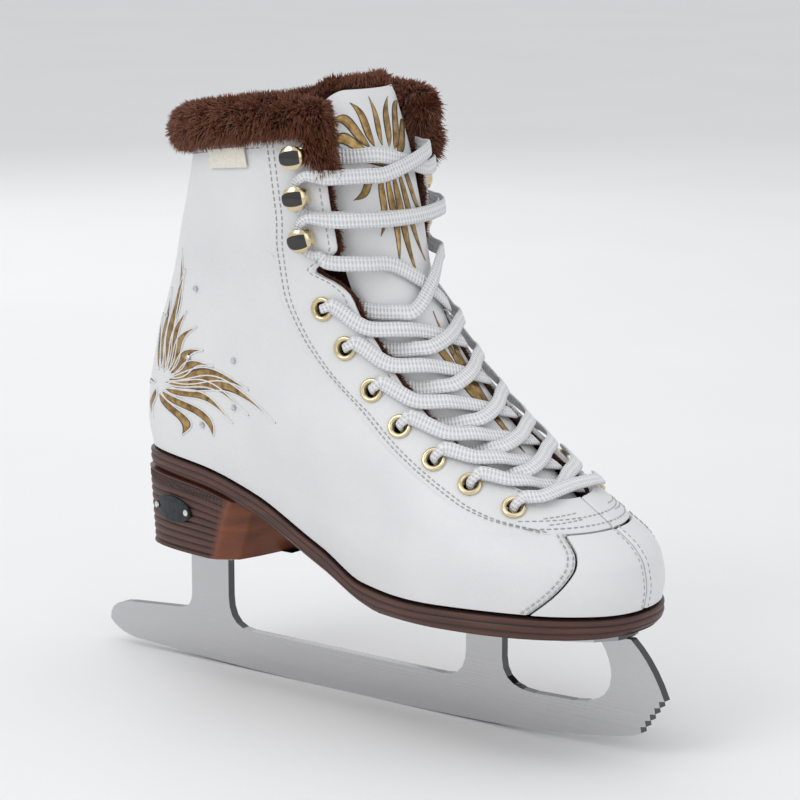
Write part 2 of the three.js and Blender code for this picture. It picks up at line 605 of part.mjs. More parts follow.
// A flat plate from a half outline of [x, half width] stations, with screw holes.
function plate(stations, low, screws) {
  const s = new THREE.Shape();
  const rim = [...stations.map(([x, w]) => [x, w]), ...stations.toReversed().map(([x, w]) => [x, -w])];
  rim.forEach(([x, y], i) => (i ? s.lineTo(x, y) : s.moveTo(x, y)));
  const blank = new THREE.ExtrudeGeometry(s, { depth: PLATE, bevelEnabled: false }).translate(0, 0, low);
  return cut(blank, screws.map(([x, y]) => screwAt(x, y, low)));
}
add('sole_plate', plate([[44, 5], [46, 12], [51, 19], [62, 20], [76, 19], [90, 24], [106, 25], [122, 21],
  [132, 15], [138, 7], [139, 3]], SOLE_PLATE_TOP - PLATE, SOLE_SCREWS), STEEL, 0.35, 0.9);
add('heel_plate', plate([[-92, 6], [-90, 13], [-84, 17], [-72, 17], [-60, 18], [-52, 17], [-50, 12]],
  HEEL_PLATE_TOP - PLATE, HEEL_SCREWS), STEEL, 0.35, 0.9);

const turned = (profile, sides) => new THREE.LatheGeometry(
  profile.map(([r, z]) => new THREE.Vector2(r, z)),
  sides,
).rotateX(Math.PI / 2);
const screw = () => turned([[0, -SCREW_HEAD - FIT], [SCREW_HEAD_RADIUS * 0.6, -SCREW_HEAD - FIT],
  [SCREW_HEAD_RADIUS, -FIT - 0.3], [SCREW_HEAD_RADIUS, -FIT], [SCREW_RADIUS, -FIT],
  [SCREW_RADIUS, SCREW_LENGTH], [0, SCREW_LENGTH]], 8);
SOLE_SCREWS.forEach(([x, y], i) => {
  add(`sole_screw_${i + 1}`, screw().translate(x, y, SOLE_PLATE_TOP - PLATE), 0xd9d9d6, 0.3, 0.95);
});
HEEL_SCREWS.forEach(([x, y], i) => {
  add(`heel_screw_${i + 1}`, screw().translate(x, y, HEEL_PLATE_TOP - PLATE), 0xd9d9d6, 0.3, 0.95);
});

// -------- eyelets and hooks
const LAYERS = LEATHER + FACING_GAP + FACING_LINING;
function eyelet() {
  const profile = [[EYELET_HOLE, -LAYERS - 1], [EYELET_BARREL + 0.8, -LAYERS - 0.9],
    [EYELET_BARREL, -LAYERS - 0.5], [EYELET_BARREL, 0.4], [EYELET_RADIUS, 0.4],
    [EYELET_RADIUS - 0.7, 0.4 + EYELET_RISE], [EYELET_HOLE, EYELET_RISE - 0.2]];
  return turned([...profile, profile[0]], 9);
}

// The hook is a bent strip: base on the leather, bend on the throat side, free end to the rear.
function hook() {
  const reach = HOOK_LENGTH / 2;
  const base = 0.45;
  const top = base + HOOK_SHEET + HOOK_GAP;
  const s = new THREE.Shape();
  const rim = [[-reach + 1, base], [reach - 0.6, base], [reach, base + 0.6], [reach, top + 0.2],
    [reach - 1, top + HOOK_SHEET], [0, top + HOOK_SHEET + 0.5], [-reach, top + HOOK_SHEET - 0.2],
    [-reach, top - 0.1], [0, top + 0.5], [reach - 1.1, top - 0.2], [reach - HOOK_SHEET, top - 1],
    [reach - HOOK_SHEET, base + HOOK_SHEET], [-reach + 1, base + HOOK_SHEET]];
  rim.forEach(([c, n], i) => (i ? s.lineTo(c, n) : s.moveTo(c, n)));
  const strip = new THREE.ExtrudeGeometry(s, { depth: HOOK_WIDTH, bevelEnabled: false })
    .translate(0, 0, -HOOK_WIDTH / 2).rotateX(Math.PI / 2);
  const shank = rod(HOOK_SHANK, -LAYERS - 1, base + 0.3, 10);
  const washer = rod(HOOK_SHANK + 1.4, -LAYERS - 1.1, -LAYERS - 0.6, 10);
  return join(strip, shank, washer);
}

for (const [name, side] of Object.entries(SIDES)) {
  EYELETS.forEach((spot, i) => {
    add(`eyelet_${name}_${i + 1}`, onFitting(eyelet(), fittingFrame(spot, side)), GOLD, 0.25, 1);
  });
  HOOKS.forEach((spot, i) => {
    add(`hook_${name}_${i + 1}`, onFitting(hook(), fittingFrame(spot, side)), GOLD, 0.25, 1);
  });
}

// -------- tongue
const tongueReach = through([[0.2, 0.2], [0.235, 0.36], [0.3, 0.66], [0.4, 0.82], [0.55, 0.92], [0.66, 0.96],
  [0.8, 0.95], [0.95, 0.93], [1.1, 0.92]]);
const tongueSink = through([[0.2, 6.2], [0.26, 4.6], [0.75, 4.5], [0.9, 6.5], [1, 9.5], [1.1, 13]]);

// s runs from the hinge to the top edge, t from one side (-1) to the other (+1). The lining is
// wider and taller than the leather by `extra`, and both follow the same crowned surface.
function tongueSpot(t, s, depth, extra) {
  const corner = 0.25 * Math.max(0, Math.abs(t) - 0.45) ** 2;
  const h = lerp(TONGUE_HINGE_H, TONGUE_TOP + extra * 0.018 - corner, s);
  const angle = t * (tongueReach(h) + extra * 0.13 * smooth(0.24, 0.4, h));
  const crown = TONGUE_CROWN * (angle / tongueReach(h)) ** 2 * (1 - 0.5 * smooth(0.8, 1, h));
  return offset(angle, h, -(tongueSink(h) + crown + depth));
}
const tongueLayer = (top, thickness, extra) => sheet(6, 18,
  (t, s) => tongueSpot(2 * t - 1, s, top, extra), (t, s) => tongueSpot(2 * t - 1, s, top + thickness, extra));
add('tongue_leather', tongueLayer(0, TONGUE_LEATHER, 0), WHITE, 0.45);
add('tongue_lining', tongueLayer(TONGUE_LEATHER + TONGUE_GAP, TONGUE_PAD, 1), BROWN_FUR, 0.95);

// -------- lace
// One flat lace. Its middle lies across the lowest pair of eyelets. Each half then runs up: in
// through an eyelet, under the facing, across the tongue, over the opposite edge and into the next
// eyelet, round the two lower hooks, and at last under the facing's edge to its tip. The half that
// crosses from the outer to the inner side lies on top of the other.
const CROSS_HIGH = -0.6;
const CROSS_LOW = -2.5;
const HOOKED_HIGH = 1.4;
const HOOKED_LOW = -0.6;
const OVER_EDGE = 2.0;            // height of the lace's middle over the throat edge
const PILED_EDGE = 4.3;           // the same for the strand on top of another
const UNDER_EDGE = -(LAYERS + 1.5);
// The level at which a strand leaves each row, and at which it comes over the edge to the next.
const CROSSINGS = [[0.6, 0.7], [0.527, 0.563], [0.452, 0.49], [0.384, 0.418], [0.331, 0.355],
  [0.2835, 0.3075], [0.243, 0.263]];
const HOOK_CROSSINGS = [[2, [0.795, 0.798]], [1, [0.892, 0.935]]];

const onBoot = (angle, h, n, size = LACE_FLAT) => ({ at: offset(angle, h, n), out: normal(angle, h), size });
const onFrame = (f, c, t, n, size) => ({
  at: f.at.clone().addScaledVector(f.in, c).addScaledVector(f.up, t).addScaledVector(f.out, n), out: f.out, size,
});

// Into an eyelet from outside and away under the facing.
const throughEyelet = (f) => [
  onFrame(f, 5.4, 0, 2.3, LACE_FLAT), onFrame(f, 3.2, 0, 2.6, LACE_HOOKED),
  onFrame(f, 1.2, 0, 2.1, LACE_BUNCHED),
  onFrame(f, 0.1, 0, 0.6, LACE_BUNCHED), onFrame(f, 0, 0, -LAYERS - 0.9, LACE_BUNCHED),
  onFrame(f, 1.3, 0, -LAYERS - 2.2, LACE_BUNCHED), onFrame(f, 4.6, 0.3, -LAYERS - 2.3, LACE_HOOKED),
];

// Round a hook from below, behind its shank and away above it. The strand that lies on top of its
// neighbour beside the hook climbs at once.
function roundHook(f, pilesBefore, pilesAfter) {
  const leave = (piles) => (piles ? [[0.7, 5.6, 2.9], [2, 6.8, 3.6], [3.6, 7.5, 4.4], [5.6, 8.2, 4.6]]
    : [[0.7, 5.6, 2.7], [2, 6.8, 2.3], [3.6, 7.5, 2.0], [5.6, 8.2, 1.8]]);
  const enter = leave(pilesBefore).map(([c, t, n]) => [c, -t, n]).reverse();
  const behind = [[-0.9, -3, 2.75], [-1.2, 0, 2.75], [-0.9, 3, 2.75]];
  return [...enter, ...behind, ...leave(pilesAfter)].map(([c, t, n]) => onFrame(f, c, t, n, LACE_HOOKED));
}

// From level h on one side to level k on the other: heights at the first edge, across the tongue
// and at the other edge.
function crossing(side, [h, k], [start, middle, end]) {
  const near = side * throat(h);
  const far = -side * throat(k);
  const stations = [[near, h, start], [0.85 * near, h, lerp(middle, start, 0.93)],
    [0.62 * near, h, lerp(middle, start, 0.35)], [0.42 * near, h, middle], [0, (h + k) / 2, middle],
    [0.42 * far, k, middle], [0.68 * far, k, lerp(middle, end, 0.6)], [far, k, end]];
  return stations.map(([angle, level, n]) => onBoot(angle, level, n));
}

function laceHalf(half) {
  const points = [];
  let side = half;
  for (let i = EYELETS.length - 1; i >= 0; i -= 1) {
    points.push(...throughEyelet(fittingFrame(EYELETS[i], side)));
    const middle = side > 0 ? CROSS_HIGH : CROSS_LOW;
    points.push(...crossing(side, CROSSINGS[i], [UNDER_EDGE, middle, OVER_EDGE]));
    side = -side;
  }
  for (const [i, levels] of HOOK_CROSSINGS) {
    const [edge, across] = side > 0 ? [PILED_EDGE, HOOKED_HIGH] : [OVER_EDGE, HOOKED_LOW];
    points.push(...roundHook(fittingFrame(HOOKS[i], side), side < 0 && i === 1, side > 0));
    points.push(...crossing(side, levels, [edge, across, i === 1 ? UNDER_EDGE : edge]));
    side = -side;
  }
  points.push(...[[0.93, 0.925, -6.9], [1.0, 0.9, -7.4], [1.02, 0.865, -7.5], [1.03, 0.84, -7.6]]
    .map(([angle, h, n]) => onBoot(side * angle, h, n, LACE_HOOKED)));
  points.at(-1).size = LACE_BUNCHED;
  return points;
}

// The lace's cross-sections along a smooth curve through its points. Its flat side follows the
// boot, and keeps its turn where the lace dives through an eyelet.
function laceFrames(points) {
  const curve = new THREE.CatmullRomCurve3(points.map((p) => p.at), false, 'centripetal');
  const stops = [];
  points.slice(1).forEach((p, i) => {
    const pieces = Math.max(1, Math.round(p.at.distanceTo(points[i].at) / LACE_STEP));
    for (let k = 0; k < pieces; k += 1) stops.push([i, k / pieces]);
  });
  stops.push([points.length - 2, 1]);
  let wide = new THREE.Vector3();
  return stops.map(([i, part]) => {
    const u = (i + part) / (points.length - 1);
    const along = curve.getTangent(u);
    const out = points[i].out.clone().lerp(points[i + 1].out, part).normalize();
    const flat = out.clone().cross(along);
    if (flat.dot(wide) < 0) flat.negate();
    const hold = wide.clone().addScaledVector(along, -wide.dot(along));
    const firm = flat.lengthSq() ** 2;
    wide = hold.multiplyScalar(1 - firm).addScaledVector(flat, firm).normalize();
    const size = points[i].size.map((v, k) => lerp(v, points[i + 1].size[k], part) / 2);
    return { at: curve.getPoint(u), along, wide: wide.clone().multiplyScalar(size[0]),
      deep: along.clone().cross(wide).multiplyScalar(size[1]) };
  });
}

const BAR = [[0.46, 0.228, 2.9], [0.26, 0.236, 2.3], [0, 0.241, 1.6]];
const middleBar = [...BAR, ...BAR.slice(0, -1).reverse().map(([a, h, n]) => [-a, h, n])]
  .map(([a, h, n]) => onBoot(a, h, n));
const laceRun = laceFrames([...laceHalf(1).reverse(), ...middleBar, ...laceHalf(-1)]);
add('lace', strap(laceRun), 0xf4f4f2, 0.85);
for (const [name, end, way] of [['lateral', laceRun[0], -1], ['medial', laceRun.at(-1), 1]]) {
  const out = end.along.clone().multiplyScalar(way);
  const wide = end.wide.clone().normalize();
  add(`aglet_${name}`, seated(rod(AGLET_RADIUS, FIT, FIT + AGLET_LENGTH, 8), end.at, wide,
    out.clone().cross(wide), out), 0xe9e9e6, 0.3);
}

// -------- fur collar: an inverted U over the top edges of leather and lining
function collar() {
  const inner = -(LINING_DEPTH + LINING + COLLAR_CLEAR);
  const profile = [[COLLAR_CLEAR, -3.2], [6, -3.6], [8.5, 2], [7.5, 9], [2.5, COLLAR_RISE],
    [-4.5, COLLAR_RISE + 0.6], [-10, 10.5], [inner - 5, 2], [inner - 4, -11], [inner, -11], [inner, 0.6],
    [COLLAR_CLEAR, 0.6]];
  const around = (t) => lerp(COLLAR_START, 2 * Math.PI - COLLAR_START, t);
  const rings = evenChords((t) => surface(around(t), 1), 26).map((t) => {
    const angle = around(t);
    const at = surface(angle, 1);
    const out = normal(angle, 1).setZ(0).normalize();
    const fromEnd = Math.min(1, Math.min(t, 1 - t) * 9);
    return profile.map(([n, z]) => {
      const held = THREE.MathUtils.clamp(n, inner, COLLAR_CLEAR);
      const taper = lerp(n < inner ? 0.3 : 0.7, 1, fromEnd);
      const p = at.clone().addScaledVector(out, held + (n - held) * taper);
      return p.setZ(at.z + (z > 1 ? z * lerp(0.7, 1, fromEnd) : z));
    });
  });
  return loft(rings, profile);
}
add('collar_fur', collar(), BROWN_FUR, 0.95);

// -------- heel badge, rivets and side label
const badgeY = (x, z, lift) => {
  const k = (soleBottom(x) - z) / (soleBottom(x) - HEEL_BOTTOM);
  return middleY(x) - heelSide(x, k) - lift;
};
const badgeSpot = (lift) => (t, s) => {
  const u = 2 * t - 1;
  const x = BADGE_CENTRE[0] + (BADGE_LENGTH / 2) * u;
  const rise = (BADGE_HEIGHT / 2) * Math.max(0.12, Math.sqrt(1 - u * u)) * (2 * s - 1);
  const z = BADGE_CENTRE[1] + rise;
  return new THREE.Vector3(x, badgeY(x, z, lift), z);
};
add('heel_badge', sheet(12, 2, badgeSpot(1.6), badgeSpot(0.5)), 0x23262a, 0.35, 0.4);
for (const [name, way] of [['rear', -1], ['front', 1]]) {
  const x = BADGE_CENTRE[0] + way * (BADGE_LENGTH / 2 - 2.2);
  const z = BADGE_CENTRE[1];
  const slope = (badgeY(x + 1, z, 0) - badgeY(x - 1, z, 0)) / 2;
  const out = new THREE.Vector3(slope, -1, 0).normalize();
  const along = new THREE.Vector3(1, slope, 0).normalize();
  const dome = turned([[0, 0.35], [1.5, 0.35], [1.4, 0.9], [0, 1.3]], 10);
  add(`badge_rivet_${name}`, seated(dome, new THREE.Vector3(x, badgeY(x, z, 1.6), z), along,
    out.clone().cross(along), out), STEEL, 0.3, 0.95);
}

const labelSpot = (d) => (t, s) => offset(
  lerp(LABEL_SIZE.from, LABEL_SIZE.to, t),
  lerp(LABEL_SIZE.low, LABEL_SIZE.high, s),
  d,
);
add('side_label', sheet(5, 2, labelSpot(1.0), labelSpot(0.35)), 0xe6e2d8, 0.8);

export default skate;
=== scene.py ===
"""A lady's figure skate for the right foot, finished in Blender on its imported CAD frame.

The boot's skin is a surface worked out from an angle round the foot and a level above the sole, so
the leather, seams, stitches, fur, ornament and lace all take their places from one formula. Lengths
inside the classes are in millimetres and become metres when a mesh is made.
"""

from __future__ import annotations

import logging
import math
from collections.abc import Callable, Sequence
from dataclasses import dataclass
from enum import Enum

import bpy
import numpy as np
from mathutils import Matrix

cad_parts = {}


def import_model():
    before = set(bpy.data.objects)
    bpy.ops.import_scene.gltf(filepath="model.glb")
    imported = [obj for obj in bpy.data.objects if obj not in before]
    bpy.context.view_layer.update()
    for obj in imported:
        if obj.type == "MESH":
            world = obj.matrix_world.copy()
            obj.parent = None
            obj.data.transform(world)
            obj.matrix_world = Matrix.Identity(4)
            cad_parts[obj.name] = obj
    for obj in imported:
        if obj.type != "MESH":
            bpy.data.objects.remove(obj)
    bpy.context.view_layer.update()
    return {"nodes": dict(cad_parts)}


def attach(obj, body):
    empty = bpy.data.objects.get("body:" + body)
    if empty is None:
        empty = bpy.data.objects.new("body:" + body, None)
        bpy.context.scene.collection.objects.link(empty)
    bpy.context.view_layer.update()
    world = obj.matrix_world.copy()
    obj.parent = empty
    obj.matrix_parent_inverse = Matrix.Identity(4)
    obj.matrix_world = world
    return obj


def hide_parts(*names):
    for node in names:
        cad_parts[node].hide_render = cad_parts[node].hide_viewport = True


MM = 0.001
LOG = logging.getLogger("figure_skate")
Array = np.ndarray
Curve = Callable[[Array], Array]


# ---------------------------------------------------------------- numbers and curves
def through(stations: Sequence[tuple[float, float]]) -> Curve:
    """Makes a monotone cubic through stations, straight beyond its ends.

    Args:
        stations: pairs of position and value, in rising order of position.

    Returns:
        A function that takes and gives arrays.
    """
    at, value = np.array(stations, float).T
    rise = np.diff(value) / np.diff(at)
    tangent = np.empty_like(value)
    tangent[0], tangent[-1] = rise[0], rise[-1]
    product, total = rise[:-1] * rise[1:], rise[:-1] + rise[1:]
    tangent[1:-1] = np.where(product > 0, 2 * product / np.where(total == 0, 1, total), 0)

    def curve(x: Array) -> Array:
        """Value at x: a cubic Hermite piece between two stations.

        Args:
            x: positions.

        Returns:
            The values there.
        """
        x = np.asarray(x, float)
        i = np.clip(np.searchsorted(at, x) - 1, 0, len(at) - 2)
        width = at[i + 1] - at[i]
        s = (x - at[i]) / width
        inside = ((2 * s**3 - 3 * s**2 + 1) * value[i] + (s**3 - 2 * s**2 + s) * width * tangent[i]
                  + (3 * s**2 - 2 * s**3) * value[i + 1] + (s**3 - s**2) * width * tangent[i + 1])
        inside = np.where(x > at[-1], value[-1] + tangent[-1] * (x - at[-1]), inside)
        return np.where(x < at[0], value[0] + tangent[0] * (x - at[0]), inside)

    return curve


def smooth(low: float, high: float, x: Array) -> Array:
    """A smooth step from 0 at low to 1 at high."""
    t = np.clip((np.asarray(x, float) - low) / (high - low), 0, 1)
    return t * t * (3 - 2 * t)


def mix(a: Array, b: Array, share: Array) -> Array:
    """The value a share of the way from a to b."""
    return a + (b - a) * share


def unit(v: Array) -> Array:
    """Vectors scaled to length one."""
    return v / np.maximum(np.linalg.norm(v, axis=-1, keepdims=True), 1e-12)


def spline(points: Sequence[Sequence[float]], per_piece: int) -> Array:
    """A centripetal Catmull-Rom curve through every point.

    Args:
        points: the points, of any dimension.
        per_piece: steps between two neighbouring points.

    Returns:
        The points along the curve, as rows.
    """
    p = np.array(points, float)
    p = np.vstack([2 * p[0] - p[1], p, 2 * p[-1] - p[-2]])
    knot = np.concatenate([[0], np.cumsum(np.maximum(np.linalg.norm(np.diff(p, axis=0), axis=1),
                                                     1e-6) ** 0.5)])
    i = np.arange(1, len(p) - 2).repeat(per_piece)
    part = np.tile(np.arange(per_piece) / per_piece, len(p) - 3)
    i, part = np.append(i, len(p) - 3), np.append(part, 1.0)
    t = mix(knot[i], knot[i + 1], part)[:, None]
    k = [knot[i + n][:, None] for n in (-1, 0, 1, 2)]
    q = [p[i + n] for n in (-1, 0, 1, 2)]
    a = [((k[n + 1] - t) * q[n] + (t - k[n]) * q[n + 1]) / (k[n + 1] - k[n]) for n in range(3)]
    b = [((k[n + 2] - t) * a[n] + (t - k[n]) * a[n + 1]) / (k[n + 2] - k[n]) for n in range(2)]
    return ((k[2] - t) * b[0] + (t - k[1]) * b[1]) / (k[2] - k[1])


def run_of(path: Array) -> Array:
    """How far along the path each of its points is."""
    return np.concatenate([[0], np.cumsum(np.linalg.norm(np.diff(path, axis=0), axis=1))])


def read_at(stops: Array, run: Array, rows: Array) -> Array:
    """Rows that belong to the places in run, read at the stops between them."""
    return np.stack([np.interp(stops, run, rows[:, n]) for n in range(rows.shape[1])], axis=1)


def evenly(path: Array, spacing: float) -> Array:
    """A path's points laid out again, spacing apart along it."""
    run = run_of(path)
    return read_at(np.linspace(0, run[-1], max(2, int(round(run[-1] / spacing)) + 1)), run, path)


def ring_of(first: Array, second: Array, points: int) -> Array:
    """Directions evenly round each pair of unit vectors, as rows by points by 3.

    Args:
        first: one unit vector a row.
        second: the one square to it.
        points: how many directions make a turn.

    Returns:
        The directions, as rows by points by 3.
    """
    turn = np.arange(points) * 2 * math.pi / points
    return (first[:, None] * np.cos(turn)[None, :, None]
            + second[:, None] * np.sin(turn)[None, :, None])


# ---------------------------------------------------------------- meshes
@dataclass
class Shape:
    """A mesh being built: vertices in millimetres, four-cornered faces and one UV pair a vertex."""

    vertices: Array
    faces: Array
    uv: Array

    def outward(self) -> Shape:
        """Turns the faces outwards, judged by the sign of the enclosed volume.

        Returns:
            The shape, with its faces turned if they had to be.
        """
        a, b, c, d = (self.vertices[self.faces[:, n]] for n in range(4))
        volume = np.einsum("ij,ij->", a, np.cross(b, c)) + np.einsum("ij,ij->", a, np.cross(c, d))
        faces = self.faces if volume > 0 else self.faces[:, ::-1]
        return Shape(self.vertices, faces, self.uv)


def joined(shapes: Sequence[Shape]) -> Shape:
    """Several shapes as one mesh of separate solids.

    Args:
        shapes: the shapes, in order.

    Returns:
        The mesh.
    """
    starts = np.cumsum([0] + [len(s.vertices) for s in shapes[:-1]])
    faces = np.vstack([s.faces + start for s, start in zip(shapes, starts)])
    return Shape(np.vstack([s.vertices for s in shapes]), faces, np.vstack([s.uv for s in shapes]))


def between_rings(bodies: int, rings: int, points: int) -> Array:
    """Four-cornered faces between neighbouring rings of points, for bodies laid out in turn.

    Args:
        bodies: how many equal bodies there are.
        rings: rings in each.
        points: points in a ring.

    Returns:
        The faces, as rows of four vertex numbers.
    """
    index = np.arange(bodies * rings * points).reshape(bodies, rings, points)
    after = np.roll(index, -1, axis=2)
    corners = [index[:, :-1], after[:, :-1], after[:, 1:], index[:, 1:]]
    return np.stack(corners, axis=-1).reshape(-1, 4)


def sheet(outer: Array, inner: Array, keep: Array | None = None) -> Shape:
    """A closed sheet between two grids of points, with walls round its rim and round every hole.

    Args:
        outer: rows by columns by 3, the sheet's outer face.
        inner: the same grid for its inner face.
        keep: rows-1 by columns-1, False where a cell is left open.

    Returns:
        The sheet, with UV running 0 to 1 along columns and rows.
    """
    rows, columns = outer.shape[:2]
    index = np.arange(rows * columns).reshape(rows, columns)
    cells = np.stack([index[:-1, :-1], index[:-1, 1:], index[1:, 1:], index[1:, :-1]], axis=-1)
    cells = cells[np.ones(cells.shape[:2], bool) if keep is None else keep]
    edges = np.vstack([cells[:, [n, (n + 1) % 4]] for n in range(4)])
    key = edges.min(axis=1) * index.size + edges.max(axis=1)
    _, inverse, count = np.unique(key, return_inverse=True, return_counts=True)
    rim = edges[count[inverse] == 1]
    back = index.size
    walls = np.stack([rim[:, 1], rim[:, 0], rim[:, 0] + back, rim[:, 1] + back], axis=1)
    faces = np.vstack([cells, cells[:, ::-1] + back, walls])
    v, u = np.meshgrid(np.linspace(0, 1, rows), np.linspace(0, 1, columns), indexing="ij")
    uv = np.tile(np.stack([u.ravel(), v.ravel()], axis=1), (2, 1))
    return Shape(np.vstack([outer.reshape(-1, 3), inner.reshape(-1, 3)]), faces, uv).outward()


def tube(rings: Array, drawn: bool = True) -> Shape:
    """Closed rings joined in order.

    Args:
        rings: rings by points by 3.
        drawn: whether each end is drawn in to its middle; otherwise the end rings are closed.

    Returns:
        The closed body, with U round it and V along it in millimetres.
    """
    first, last = (end.mean(axis=1, keepdims=True).repeat(rings.shape[1], axis=1)
                   for end in (rings[:1], rings[-1:]))
    grid = np.concatenate([first, rings, last]) if drawn else rings
    count, n = grid.shape[:2]
    u = np.tile(np.linspace(0, 1, n, endpoint=False), (count, 1))
    v = np.tile(run_of(grid.mean(axis=1))[:, None], (1, n))
    uv = np.stack([u, v], axis=-1).reshape(-1, 2)
    return Shape(grid.reshape(-1, 3), between_rings(1, count, n), uv).outward()


def lathe(profile: Sequence[tuple[float, float]], segments: int, closed: bool = False) -> Shape:
    """A profile of (radius, height) pairs turned about +Z.

    Args:
        profile: the outline; it ends on the axis, or closes on itself.
        segments: how many faces make a turn.
        closed: whether the profile is a loop.

    Returns:
        The turned body.
    """
    p = np.array(list(profile) + ([profile[0]] if closed else []), float)
    turn = np.linspace(0, 2 * math.pi, segments, endpoint=False)
    rings = np.stack([p[:, :1] * np.cos(turn), p[:, :1] * np.sin(turn), p[:, 1:] + 0 * turn],
                     axis=-1)
    return Shape(rings.reshape(-1, 3), between_rings(1, len(rings), segments),
                 np.zeros((rings.size // 3, 2))).outward()


class Body(Enum):
    """The two rigid bodies of the frame."""

    BOOT = "root"
    TONGUE = "tongue"


@dataclass
class Bench:
    """Turns shapes into Blender objects that ride on the frame."""

    finishes: dict[str, bpy.types.Material]

    def make(self, name: str, shape: Shape, finish: str, slot: str, body: Body = Body.BOOT,
             replaces: Sequence[str] = (), sharp: float = 40.0) -> bpy.types.Object:
        """Makes one piece.

        Args:
            name: the piece's name.
            shape: its mesh, in millimetres.
            finish: which finish it wears.
            slot: the record's material slot that the finish stands for; not used.
            body: the body that it rides on.
            replaces: the CAD nodes that it stands for.
            sharp: edges that bend by more than this many degrees stay crisp.

        Returns:
            The new object.
        """
        mesh = bpy.data.meshes.new(name)
        mesh.from_pydata((shape.vertices * MM).tolist(), [], shape.faces.tolist())
        corner = np.empty(len(mesh.loops), np.int32)
        mesh.loops.foreach_get("vertex_index", corner)
        layer = mesh.uv_layers.new(name="UVMap")
        layer.data.foreach_set("uv", shape.uv[corner].astype(np.float32).ravel())
        mesh.validate()
        mesh.polygons.foreach_set("use_smooth", np.ones(len(mesh.polygons), bool))
        mesh.set_sharp_from_angle(angle=math.radians(sharp))
        mesh.materials.append(self.finishes[finish])
        piece = bpy.data.objects.new(name, mesh)
        bpy.context.scene.collection.objects.link(piece)
        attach(piece, body.value)
        if replaces:
            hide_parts(*replaces)
        LOG.info("%s: %d faces, %s", name, len(mesh.polygons), finish)
        return piece


# ---------------------------------------------------------------- the boot's surface
class Side(Enum):
    """The two sides of the foot; the value is the sign of the angle."""

    LATERAL = 1
    MEDIAL = -1


@dataclass(frozen=True)
class Layers:
    """Thicknesses and gaps of the upper, in millimetres."""

    leather: float = 2.0
    padding_gap: float = 1.0
    lining: float = 2.8
    facing_gap: float = 0.9
    facing_lining: float = 1.4
    backstay_half: float = 9.0
    reveal: float = 1.6
    fit: float = 0.3
    step: float = 0.45

    @property
    def facing(self) -> float:
        """Depth of everything an eyelet goes through."""
        return self.leather + self.facing_gap + self.facing_lining


